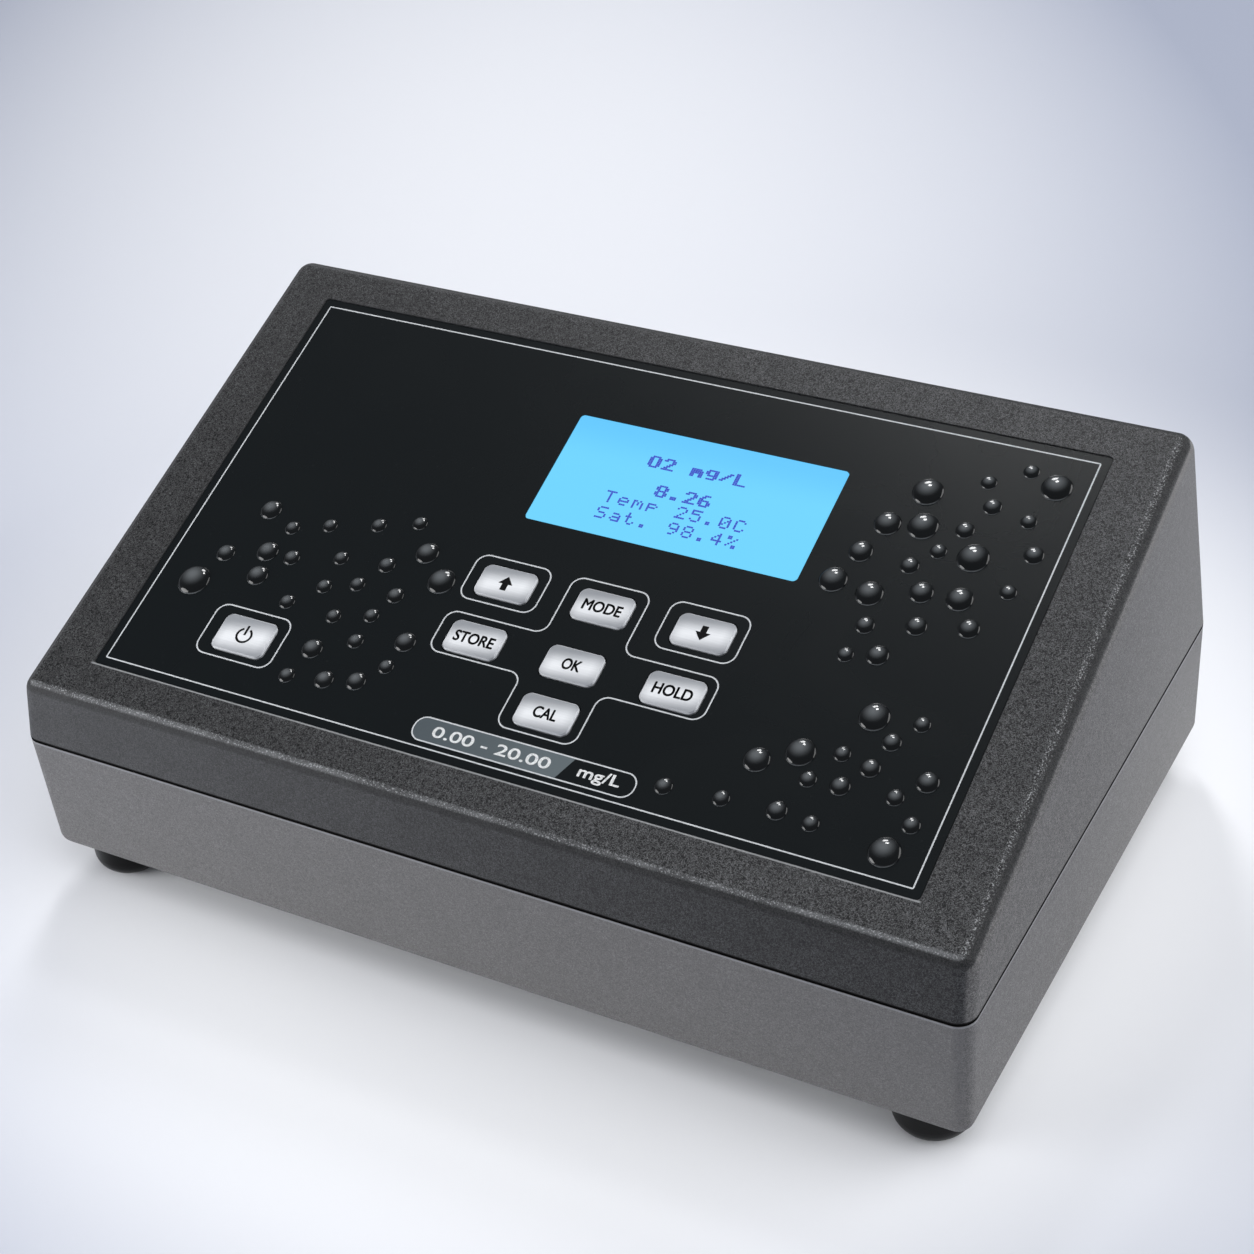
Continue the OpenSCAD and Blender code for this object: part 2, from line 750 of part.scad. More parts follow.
module ribbon(x, y, bottom) {
    plug_top = header_floor + plug_h;
    a = panel_point(y, bottom - plug_top);
    b = a - ribbon_reach * n_top;
    d = [front_header_y, board_top + plug_top];
    c = d + [0, ribbon_reach];
    steps = [for (i = [0:ribbon_steps]) i / ribbon_steps];
    left = [for (t = steps) curve_point(a, b, c, d, t) + side_of(curve_slope(a, b, c, d, t)) * ribbon_t / 2];
    right = [for (t = steps) curve_point(a, b, c, d, t) - side_of(curve_slope(a, b, c, d, t)) * ribbon_t / 2];
    back = [for (i = [ribbon_steps:-1:0]) right[i]];
    translate([x - plug_w / 2 + clear, 0, 0]) rotate([90, 0, 90])
        linear_extrude(plug_w - 2 * clear) polygon(concat(left, back));
}

module display_ribbon() {
    color("#9aa0a6") ribbon(display_ribbon_x, display_header_y, display_bottom);
}

module keypad_ribbon() {
    color("#9aa0a6") ribbon(keypad_ribbon_x, keypad_header_y, keypad_bottom);
}

// Main board and what stands on it
module on_board(x, y) {
    translate([x, board_y + y, board_top]) children();
}

module main_board() {
    color("#2f6b45") difference() {
        translate([0, board_y, board_bottom]) plate(board_w, board_d, 2, board_t);
        translate([0, board_y, board_bottom - bite]) at_corners(board_hole_x, board_hole_y)
            cylinder(h = board_t + 2 * bite, r = board_screw_r + shank_gap);
    }
}

module main_board_screws() {
    color("silver") translate([0, board_y, board_top]) at_corners(board_hole_x, board_hole_y)
        round_screw(board_screw_r, board_screw_l, small_head_r, small_head_h);
}

// Chip with a row of leads down each long side
module chip(w, d, h, leads) {
    lead_w = 0.5;
    lead_out = 1;
    pitch = w / (leads + 1);
    translate([0, 0, lead_w / 2]) block(w, d, h);
    for (i = [1:leads], s = [-1, 1])
        translate([-w / 2 + i * pitch, s * (d / 2 + lead_out / 2 - lead_w / 4), 0])
            block(lead_w, lead_out + lead_w / 2, lead_w);
}

controller_w = 14;
controller_t = 1.4;
controller_x = -8;
chips_y = -4;
module controller_chip() {
    color("#232527") on_board(controller_x, chips_y) chip(controller_w, controller_w, controller_t, 12);
}

small_chip_w = 6;
small_chip_d = 4;
small_chip_t = 1.5;
small_chip_x = 12;
module small_chips() {
    color("#232527") for (i = [1, 2]) on_board(i * small_chip_x, chips_y)
        chip(small_chip_w, small_chip_d, small_chip_t, 4);
}

module crystal() {
    can_r = 2.3;
    can_l = 6.5;
    can_h = 3.4;
    can_y = 12;
    color("silver") on_board(controller_x, can_y) linear_extrude(can_h) {
        square([can_l, 2 * can_r], center = true);
        for (s = [-1, 1]) translate([s * can_l / 2, 0]) circle(can_r);
    }
}

shield_w = 28;
shield_d = 20;
shield_h = 7;
shield_t = 0.4;
module at_shield() {
    on_board(probe_x, board_d / 2 - body_depth - shield_d / 2 - 2) children();
}

module shield_can() {
    inner_w = shield_w - 2 * shield_t;
    inner_d = shield_d - 2 * shield_t;
    color("silver") at_shield() difference() {
        plate(shield_w, shield_d, bite, shield_h);
        translate([0, 0, -bite]) block(inner_w, inner_d, shield_h + bite - shield_t);
        for (sx = [-2:2], sy = [-1:1]) translate([sx * shield_w / 6, sy * shield_d / 5, 0])
            cylinder(h = shield_h + bite, r = 1);
    }
}

amplifier_w = 9;
amplifier_d = 6;
module amplifier_chip() {
    color("#232527") at_shield() chip(amplifier_w, amplifier_d, 1.7, 7);
}

module capacitors() {
    can_h = 12;
    can_r = 4;
    can_pitch = 2 * can_r + 3;
    first_x = jack_x + 1.5 * can_pitch;
    can_y = board_d / 2 - body_depth - 3 * can_r;
    color("#2b3a66") for (i = [0:3]) on_board(first_x - i * can_pitch, can_y) cylinder(h = can_h, r = can_r);
}

sink_w = 22;
sink_h = 18;
sink_t = 1.6;
sink_d = 9;
sink_y = -20;
module heat_sink() {
    color("#9ea2a6") on_board(jack_x, sink_y) {
        translate([0, sink_t / 2, 0]) block(sink_w, sink_t, sink_h);
        for (i = [-2:2]) translate([i * (sink_w - sink_t) / 4, sink_d / 2, 0]) block(sink_t, sink_d, sink_h);
    }
}

module regulator() {
    body_w = 10;
    body_d = 4.4;
    body_h = 9;
    leg = 0.8;
    lift = 4;
    color("#27292b") on_board(jack_x, sink_y - body_d / 2) {
        translate([0, 0, lift]) block(body_w, body_d, body_h);
        for (i = [-1:1]) translate([i * 2.5, 0, 0]) block(leg, leg, lift + bite);
    }
}

module buzzer() {
    buzzer_r = 6;
    buzzer_h = 8.5;
    buzzer_x = -25;
    buzzer_y = -20;
    vent_depth = 2;
    vent_r = 1.2;
    color("#1f2022") on_board(buzzer_x, buzzer_y) difference() {
        cylinder(h = buzzer_h, r = buzzer_r);
        translate([0, 0, buzzer_h - vent_depth]) cylinder(h = vent_depth + bite, r = vent_r);
    }
}

cell_x = -50;
cell_y = -9;
cell_r = 10;
cell_t = 3.2;
cell_floor = 1.2;
module cell_holder() {
    color("#26282a") on_board(cell_x, cell_y) difference() {
        cylinder(h = cell_floor + cell_t, r = cell_r + 2);
        translate([0, 0, cell_floor]) cylinder(h = cell_t + bite, r = cell_r + clear);
        translate([0, -cell_r, cell_floor]) block(cell_r, cell_r, cell_t + bite);
    }
}

module clock_cell() {
    color("#c8cacc") on_board(cell_x, cell_y) translate([0, 0, cell_floor]) cylinder(h = cell_t, r = cell_r);
}

// Sockets: each body stands on the board behind the wall, and its nose passes out through the wall
module socket_body(x, w, h) {
    translate([x, rear_in - body_depth / 2, board_top]) block(w, body_depth, h);
}

module probe_socket() {
    body_w = 14;
    lug_r = 1;
    lug_out = 5.6;
    mouth = rear_t + probe_l;
    bore_l = 9;
    color("#c9ccd0") difference() {
        union() {
            socket_body(probe_x, body_w, 2 * socket_up);
            at_socket(probe_x, rear_in - bite) cylinder(h = mouth + bite, r = probe_r);
            translate([probe_x, rear_in + mouth - 4, socket_z - lug_out]) cylinder(h = 2 * lug_out, r = lug_r);
        }
        at_socket(probe_x, rear_in + mouth - bore_l) cylinder(h = bore_l + bite, r = probe_bore_r);
    }
}

insulator_sink = 9;
insulator_l = 5;
insulator_r = 2.3;
insulator_bore_r = 0.8;
contact_r = 0.7;
contact_bore_r = 0.45;
contact_floor = 2;
module probe_insulator() {
    color("white") at_socket(probe_x, rear_in + rear_t + probe_l - insulator_sink) difference() {
        cylinder(h = insulator_l, r = insulator_r);
        translate([0, 0, bite]) cylinder(h = insulator_l, r = insulator_bore_r);
    }
}

module probe_contact() {
    color("gold") at_socket(probe_x, rear_in + rear_t + probe_l - insulator_sink + bite) difference() {
        cylinder(h = insulator_l, r = contact_r);
        translate([0, 0, contact_floor]) cylinder(h = insulator_l, r = contact_bore_r);
    }
}

module probe_washer() {
    color("silver") at_socket(probe_x, rear_out) difference() {
        cylinder(h = washer_t, r = hex_corner_r);
        translate([0, 0, -bite]) cylinder(h = washer_t + 2 * bite, r = probe_r + thread_gap);
    }
}

module probe_nut() {
    color("silver") at_socket(probe_x, rear_out + washer_t) difference() {
        cylinder(h = nut_t, r = hex_corner_r, $fn = 6);
        translate([0, 0, -bite]) cylinder(h = nut_t + 2 * bite, r = probe_r + thread_gap);
    }
}

temp_body_w = 10;
temp_body_over = 5;
module temperature_socket() {
    mouth = rear_t + temp_out;
    color("#1d1f21") difference() {
        union() {
            socket_body(temp_x, temp_body_w, socket_up + temp_body_over);
            at_socket(temp_x, rear_in - bite) cylinder(h = mouth + bite, r = temp_r);
        }
        at_socket(temp_x, rear_in + mouth - temp_bore_l) cylinder(h = temp_bore_l + bite, r = temp_bore_r);
    }
}

module temperature_nut() {
    color("silver") at_socket(temp_x, rear_out) difference() {
        cylinder(h = temp_out / 2, r = temp_r * 1.45);
        translate([0, 0, -bite]) cylinder(h = temp_out, r = temp_r + thread_gap);
    }
}

jack_bore_l = 10;
module power_jack() {
    color("#1d1f21") difference() {
        union() {
            socket_body(jack_x, 9, socket_up + jack_r + bite);
            at_socket(jack_x, rear_in - bite) cylinder(h = rear_t + bite, r = jack_r);
        }
        at_socket(jack_x, rear_out - jack_bore_l) cylinder(h = jack_bore_l + bite, r = jack_bore_r);
    }
}

module power_jack_pin() {
    color("silver") at_socket(jack_x, rear_out - jack_bore_l) cylinder(h = jack_bore_l - bite, r = jack_pin_r);
}

// Outline of the data port grown by t: a square mouth with two cut corners at the top
module port_outline(t) {
    w = port_w / 2 + t;
    h = port_h / 2 + t;
    cut = 1.6;
    polygon([[-w, h], [w, h], [w, cut - h], [w - cut, -h], [cut - w, -h], [-w, cut - h]]);
}

port_bore_l = 10;
module data_port() {
    color("#c9ccd0") difference() {
        union() {
            socket_body(port_x, port_w + 2 * port_shell, socket_up + port_h / 2);
            at_socket(port_x, rear_in - bite) linear_extrude(rear_t + bite) port_outline(port_shell);
        }
        at_socket(port_x, rear_out - port_bore_l) linear_extrude(port_bore_l + bite) port_outline(0);
    }
}

module data_port_tongue() {
    color("white") at_socket(port_x, rear_out - port_bore_l)
        block(port_w * 0.65, port_h * 0.4, port_bore_l - bite);
}

// Feet and case screws
module feet() {
    color("#0e0f10") at_case_corners(boss_x, boss_y) {
        rotate_extrude() {
            square([foot_r - foot_edge_r, foot_h]);
            translate([0, foot_edge_r]) square([foot_r, foot_h - foot_edge_r]);
            intersection() {
                translate([foot_r - foot_edge_r, foot_edge_r]) circle(foot_edge_r);
                square([foot_r, foot_h]);
            }
        }
        cylinder(h = foot_h + foot_stem_h, r = well_r - stem_gap);
    }
}

module case_screws() {
    color("silver") at_case_corners(boss_x, boss_y) translate([0, 0, screw_seat])
        mirror([0, 0, 1]) round_screw(case_screw_r, case_screw_l, head_r, head_h);
}

top_cover();
base_tray();
front_film();
display_lens();
display_frame();
display_glass();
display_light_guide();
display_board();
display_screws();
keypad_board();
keypad_screws();
switch_bodies();
key_power();
key_up();
key_mode();
key_down();
key_store();
key_ok();
key_hold();
key_cal();
plunger_power();
plunger_up();
plunger_mode();
plunger_down();
plunger_store();
plunger_ok();
plunger_hold();
plunger_cal();
panel_headers();
board_headers();
ribbon_plugs();
display_ribbon();
keypad_ribbon();
main_board();
main_board_screws();
controller_chip();
small_chips();
crystal();
shield_can();
amplifier_chip();
capacitors();
regulator();
heat_sink();
buzzer();
cell_holder();
clock_cell();
probe_socket();
probe_insulator();
probe_contact();
probe_washer();
probe_nut();
temperature_socket();
temperature_nut();
power_jack();
power_jack_pin();
data_port();
data_port_tongue();
feet();
case_screws();
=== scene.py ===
import math

import bmesh
import bpy
from mathutils import Matrix, Vector


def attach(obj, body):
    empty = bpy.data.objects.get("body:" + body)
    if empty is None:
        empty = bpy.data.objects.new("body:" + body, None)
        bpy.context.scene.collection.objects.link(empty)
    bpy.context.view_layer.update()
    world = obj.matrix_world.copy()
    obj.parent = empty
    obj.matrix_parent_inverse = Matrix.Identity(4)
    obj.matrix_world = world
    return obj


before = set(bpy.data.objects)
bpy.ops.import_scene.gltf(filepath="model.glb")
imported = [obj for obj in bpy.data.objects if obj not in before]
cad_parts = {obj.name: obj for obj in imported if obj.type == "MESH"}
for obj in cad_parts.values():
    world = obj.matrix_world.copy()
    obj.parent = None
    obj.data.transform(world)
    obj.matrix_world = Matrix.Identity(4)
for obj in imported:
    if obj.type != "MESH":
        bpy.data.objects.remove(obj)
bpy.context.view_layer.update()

# Benchtop dissolved oxygen meter: printed panel, key legends, lit readout, beads and finishes around the CAD parts.
# Lengths are metres. Lengths on the panel are millimetres from the film's centre, and MM turns them into metres.
MM = 0.001

# Sizes that the CAD source also uses
CASE_DEPTH = 152 * MM
CASE_SHIFT = -5.9 * MM
CASE_WIDTH = 250 * MM
SEAM_HEIGHT = 45 * MM
FOOT_HEIGHT = 10 * MM
FRONT_HEIGHT = 15 * MM
BACK_HEIGHT = 62 * MM
FRONT_LEAN = math.radians(12)
BACK_LEAN = math.radians(11)
FILM_START = 10.9 * MM
FILM_HEIGHT = 120.3 * MM
FILM_WIDTH = 216.6 * MM
FILM_GAP = 0.25 * MM
FILM_TOP = -0.3 * MM
KEY_TOP = 0.15 * MM
WINDOW = (14.4, 24.8, 72.4, 33)
REAR_FIELD_Y = 67.9 * MM
SOCKET_HEIGHT = 27.6 * MM
KEYS = {
    "power": (-73.9, -42.6, 15, 10.4),
    "up": (-16.8, -11, 14.6, 8.9),
    "mode": (9.4, -11, 14.6, 8.9),
    "down": (35.6, -11, 14.6, 8.9),
    "store": (-16.8, -27.6, 14.6, 8.9),
    "ok": (9.4, -27.6, 14.6, 8.9),
    "hold": (35.6, -27.6, 14.6, 8.9),
    "cal": (9.4, -41.4, 14.6, 8.9),
}

front_edge = Vector((0, CASE_SHIFT - CASE_DEPTH / 2 + FRONT_HEIGHT * math.tan(FRONT_LEAN),
                     SEAM_HEIGHT + FRONT_HEIGHT))
back_edge = Vector((0, CASE_SHIFT + CASE_DEPTH / 2 - BACK_HEIGHT * math.tan(BACK_LEAN),
                    SEAM_HEIGHT + BACK_HEIGHT))
up_slope = (back_edge - front_edge).normalized()
slope = math.atan2(up_slope.z, up_slope.y)
panel_normal = Vector((0, -up_slope.z, up_slope.y))
film_centre = front_edge + (FILM_START + FILM_HEIGHT / 2) * up_slope
panel_place = Matrix.Translation(film_centre) @ Matrix.Rotation(slope, 4, "X")


# Small tools that every material and modifier below is built with
def paint(code):
    """A web colour as the linear colour that the renderer works in."""
    parts = [int(code[i:i + 2], 16) / 255 for i in (1, 3, 5)]
    linear = [p / 12.92 if p <= 0.04045 else ((p + 0.055) / 1.055) ** 2.4 for p in parts]
    return (*linear, 1.0)


def plug(tree, value, socket):
    """Feeds an input with an output, a node's first output, a web colour or a plain value."""
    if isinstance(value, bpy.types.Node):
        value = value.outputs[0]
    if isinstance(value, bpy.types.NodeSocket):
        tree.links.new(value, socket)
    elif isinstance(value, str) and value.startswith("#"):
        socket.default_value = paint(value)
    else:
        socket.default_value = value


def add(tree, kind, feeds=None, **settings):
    """Puts a node in a tree, with its settings, and feeds its inputs."""
    made = tree.nodes.new(kind)
    for key, value in settings.items():
        setattr(made, key, value)
    for key, value in (feeds or {}).items():
        plug(tree, value, made.inputs[key])
    return made


def feed(tree, sockets, **values):
    """Feeds inputs by name. A name with a space is written with an underscore."""
    for key, value in values.items():
        plug(tree, value, sockets[key.replace("_", " ")])


def calc(tree, operation, *values):
    """Arithmetic on numbers or outputs."""
    return add(tree, "ShaderNodeMath", dict(enumerate(values)), operation=operation).outputs[0]


def times(tree, product, *factors):
    """A product of numbers or outputs."""
    for factor in factors:
        product = calc(tree, "MULTIPLY", product, factor)
    return product


def vector_calc(tree, operation, first, second):
    """Arithmetic on two vectors that gives a number."""
    made = add(tree, "ShaderNodeVectorMath", {0: first, 1: second}, operation=operation)
    return made.outputs["Value"]


def split(tree, vector):
    """The three parts of a vector."""
    return add(tree, "ShaderNodeSeparateXYZ", {0: vector}).outputs


def noise(tree, place, rate, detail=2.0, twist=0.0):
    """Soft noise between 0 and 1, with so many lumps a metre."""
    feeds = {"Vector": place, "Scale": rate, "Detail": detail, "Distortion": twist}
    return add(tree, "ShaderNodeTexNoise", feeds).outputs["Fac"]


def fade(tree, value, low, high, start=0.0, end=1.0):
    """A smooth step from start to end while the value goes from low to high."""
    feeds = {"Value": value, "From Min": low, "From Max": high, "To Min": start, "To Max": end}
    return add(tree, "ShaderNodeMapRange", feeds, interpolation_type="SMOOTHSTEP").outputs["Result"]


def blend(tree, share, first, second):
    """Two colours mixed by a share."""
    made = add(tree, "ShaderNodeMix", data_type="RGBA")
    for index, value in ((0, share), (6, first), (7, second)):
        plug(tree, value, made.inputs[index])
    return made.outputs[2]


def coats(tree, colour, *layers):
    """Lays coats over a colour, each given by its mask, how strongly it covers, and its own colour."""
    for mask, strength, coat in layers:
        colour = blend(tree, times(tree, mask, strength), colour, coat)
    return colour


def new_tree(name, kind, inputs, outputs):
    """An empty node group with named inputs and outputs, and its two end nodes."""
    tree = bpy.data.node_groups.new(name, kind)
    for label, sort, value in inputs:
        socket = tree.interface.new_socket(label, in_out="INPUT", socket_type=sort)
        if value is not None:
            socket.default_value = value
    for label, sort in outputs:
        tree.interface.new_socket(label, in_out="OUTPUT", socket_type=sort)
    return tree, add(tree, "NodeGroupInput").outputs, add(tree, "NodeGroupOutput").inputs


def use(tree, group, **feeds):
    """Places a shared effect in a material and returns its outputs."""
    made = add(tree, "ShaderNodeGroup", node_tree=group)
    feed(tree, made.inputs, **feeds)
    return made.outputs


FLOAT = "NodeSocketFloat"
VECTOR = "NodeSocketVector"
MATERIAL = "NodeSocketMaterial"
GEOMETRY = "NodeSocketGeometry"
SHADER_TREE = "ShaderNodeTree"
GEOMETRY_TREE = "GeometryNodeTree"


# Effects that several finishes share. The leathery grain's rates are shares of its pitch's own rate
FINE_RATE = 2.4
PATCH_RATE = 0.12
MOTTLE_RATE = 0.05
THREAD_TWIST = 1.2
THREAD_WIDTH = 0.12
GRIT_RANGE = (0.42, 0.66)
GRIT_HEIGHT = 0.4
PATCH_RANGE = (0.3, 0.68)
SPARSE_FLECKS = 0.85
FLECKS_OFF_GRIT = 0.45


def moulded_grain_group():
    """Leathery grain: height for a bump, light flecks on its crests, and soft mottling."""
    inputs = [("Coordinates", VECTOR, None), ("Pitch", FLOAT, 0.0006), ("Fleck Share", FLOAT, 0.4)]
    outputs = [("Height", FLOAT), ("Flecks", FLOAT), ("Mottle", FLOAT)]
    tree, given, result = new_tree("moulded grain", SHADER_TREE, inputs, outputs)
    place = given["Coordinates"]
    rate = calc(tree, "DIVIDE", 1.0, given["Pitch"])
    creases = noise(tree, place, rate, 1.0, THREAD_TWIST)
    ridge = calc(tree, "ABSOLUTE", calc(tree, "SUBTRACT", creases, 0.5))
    thread = fade(tree, ridge, 0.0, THREAD_WIDTH, 1.0, 0.0)
    grit = fade(tree, noise(tree, place, times(tree, rate, FINE_RATE), 1.0), *GRIT_RANGE)
    patches = noise(tree, place, times(tree, rate, PATCH_RATE))
    often = fade(tree, patches, *PATCH_RANGE, SPARSE_FLECKS, 1.0)
    on_grit = fade(tree, grit, 0.0, 1.0, FLECKS_OFF_GRIT, 1.0)
    flecks = times(tree, thread, on_grit, often, given["Fleck Share"])
    feed(tree, result, Height=calc(tree, "ADD", thread, times(tree, grit, GRIT_HEIGHT)),
         Flecks=calc(tree, "MINIMUM", flecks, 1.0), Mottle=noise(tree, place, times(tree, rate, MOTTLE_RATE)))
    return tree


# Rounded edges, told by the cosine of a surface's angle to the panel and by the parts of its normal
EDGE_LEAN = (0.84, 0.93)
FLAT_LEAN = (0.975, 0.997)
SHOULDER_LEAN = (0.45, 0.7)
CHEEK_LEAN = (0.47, 0.6)
CHEEK_FACING = (0.5, 0.72)
FRONT_FACING = (-0.6, -0.44)
RIGHT_FACING = (0.12, 0.24)
CHEEK_PLACE = (CASE_WIDTH / 2 - 4.5 * MM, CASE_WIDTH / 2 - 3.5 * MM)
SPECK_RATE = 2600.0
SPECK_RANGE = (0.56, 0.66)
WORN_RATE = 70.0
WORN_RANGE = (0.32, 0.66)
LEAST_WORN = 0.35


def edge_wear_and_light_group():
    """Rubbed crest and specks, shaded shoulder and flat cheek of a rounded box, as masks. The crest is worn and also a
    painted highlight, and the shoulder is a painted shade.
    """
    inputs = [("Normal", VECTOR, None), ("Face", VECTOR, (0, 0, 1)), ("Coordinates", VECTOR, None)]
    outputs = [("Crest", FLOAT), ("Specks", FLOAT), ("Shoulder", FLOAT), ("Cheek", FLOAT)]
    tree, given, result = new_tree("edge wear", SHADER_TREE, inputs, outputs)
    lean = vector_calc(tree, "DOT_PRODUCT", given["Normal"], given["Face"])
    facing = split(tree, given["Normal"])
    place = given["Coordinates"]
    turn = times(tree, fade(tree, lean, *EDGE_LEAN), fade(tree, lean, *FLAT_LEAN, 1.0, 0.0))
    front = times(tree, turn, fade(tree, facing[1], *FRONT_FACING, 1.0, 0.0))
    right = times(tree, turn, fade(tree, facing[0], *RIGHT_FACING))
    often = fade(tree, noise(tree, place, WORN_RATE), *WORN_RANGE, LEAST_WORN, 1.0)
    rub = fade(tree, noise(tree, place, SPECK_RATE, 1.0), *SPECK_RANGE)
    below = fade(tree, lean, *EDGE_LEAN, 1.0, 0.0)
    sideways = fade(tree, calc(tree, "ABSOLUTE", facing[0]), *CHEEK_FACING)
    outside = fade(tree, calc(tree, "ABSOLUTE", split(tree, place)[0]), *CHEEK_PLACE)
    upright = fade(tree, lean, *CHEEK_LEAN, 1.0, 0.0)
    feed(tree, result, Crest=times(tree, front, often), Specks=times(tree, calc(tree, "MAXIMUM", front, right), rub),
         Shoulder=times(tree, fade(tree, lean, *SHOULDER_LEAN), below), Cheek=times(tree, sideways, upright, outside))
    return tree


def strip_group():
    """Share of a strip between two values, with soft ends, such as a line of shade at one height."""
    inputs = [("Value", FLOAT, 0.0), ("Low", FLOAT, 0.0), ("High", FLOAT, 1.0), ("Softness", FLOAT, 0.0002)]
    tree, given, result = new_tree("strip", SHADER_TREE, inputs, [("Share", FLOAT)])
    under = calc(tree, "SUBTRACT", given["Low"], given["Softness"])
    over = calc(tree, "ADD", given["High"], given["Softness"])
    rise = fade(tree, given["Value"], under, given["Low"])
    fall = fade(tree, given["Value"], given["High"], over, 1.0, 0.0)
    feed(tree, result, Share=times(tree, rise, fall))
    return tree


# Brushing and handling
CLOUD_RATE = 120.0
SMEAR_RATE = 28.0
SMEAR_RANGE = (0.42, 0.7)
DUST_RATE = 260.0
DUST_SIZE = 0.09


def brushed_group():
    """Fine parallel strokes of drawn or brushed metal along one axis, and soft clouds where it is worn."""
    inputs = [("Coordinates", VECTOR, None), ("Stretch", VECTOR, (0.02, 1, 1)), ("Rate", FLOAT, 6000.0)]
    outputs = [("Strokes", FLOAT), ("Clouds", FLOAT)]
    tree, given, result = new_tree("brushed strokes", SHADER_TREE, inputs, outputs)
    pulled = add(tree, "ShaderNodeVectorMath", {0: given["Coordinates"], 1: given["Stretch"]}, operation="MULTIPLY")
    feed(tree, result, Strokes=noise(tree, pulled, given["Rate"]),
         Clouds=noise(tree, given["Coordinates"], CLOUD_RATE, 3.0))
    return tree


def handling_group():
    """Faint smears and dust of everyday handling, as shares that dull a glossy face."""
    inputs = [("Coordinates", VECTOR, None), ("Amount", FLOAT, 0.5)]
    tree, given, result = new_tree("handling", SHADER_TREE, inputs, [("Smears", FLOAT), ("Dust", FLOAT)])
    broad = noise(tree, given["Coordinates"], SMEAR_RATE, 4.0, 1.2)
    motes = add(tree, "ShaderNodeTexVoronoi", {"Vector": given["Coordinates"], "Scale": DUST_RATE})
    specks = fade(tree, motes.outputs["Distance"], 0.0, DUST_SIZE, 1.0, 0.0)
    feed(tree, result, Smears=times(tree, fade(tree, broad, *SMEAR_RANGE), given["Amount"]),
         Dust=times(tree, specks, given["Amount"]))
    return tree


grain = moulded_grain_group()
wear_and_light = edge_wear_and_light_group()
strip = strip_group()
brushed = brushed_group()
handling = handling_group()


# Finishes
def blank(name):
    """A new material with a Principled shader, its tree, its inputs and the object's own coordinates."""
    material = bpy.data.materials.new(name)
    material.use_nodes = True
    tree = material.node_tree
    tree.nodes.clear()
    shader = add(tree, "ShaderNodeBsdfPrincipled")
    add(tree, "ShaderNodeOutputMaterial", {"Surface": shader})
    place = add(tree, "ShaderNodeTexCoord").outputs["Object"]
    return material, tree, shader.inputs, place


def relief(tree, height, depth, strength=1.0):
    """The normal of a surface roughened by a height of so many metres."""
    feeds = {"Height": height, "Distance": depth, "Strength": strength}
    return add(tree, "ShaderNodeBump", feeds).outputs["Normal"]


def on_panel_axes(tree, place, centre=None):
    """Coordinates along and across the sloped panel, measured from a place on it."""
    feeds = {"Vector": place, "Rotation": (slope, 0, 0), "Location": centre or film_centre}
    return add(tree, "ShaderNodeMapping", feeds, vector_type="TEXTURE").outputs["Vector"]


def face_normal(tree):
    """The way a surface faces, without its bump."""
    return add(tree, "ShaderNodeNewGeometry").outputs["Normal"]


def line(tree, value, low, high, softness):
    """Share of a thin soft-edged strip."""
    return use(tree, strip, Value=value, Low=low, High=high, Softness=softness)["Share"]


# Both shells: the grain, the shade along the seam, and where painted light drifts a colour to another
GRAIN_PITCH = 0.6 * MM
MOTTLE_RANGE = (0.35, 0.65)
SEAM_SHADE = "#080808"
PAINTED_LIGHT_LEFT_TO_RIGHT = (-120 * MM, 110 * MM)
PAINTED_LIGHT_FRONT_TO_BACK = (-30 * MM, 80 * MM)
PANEL_LEAN = (0.9, 0.97)
# The cover's colours, as pairs from left to right, and the cheeks' from front to back: painted light, which also
# shades the front apart from the top
COVER_FRONT = ("#464647", "#2d2d2e")
COVER_TOP_NEAR = ("#111112", "#222223")
COVER_TOP_FAR = ("#262627", "#373738")
COVER_CHEEK = ("#535252", "#757473")
WALL_FLECKS = 0.6
TOP_FLECKS = 0.68
# Flecks on the top show more strongly towards the right: painted light
FLECKS_LIT_TO_RIGHT = 0.35
RIM_HIGHLIGHT_WIDTH = 0.3 * MM


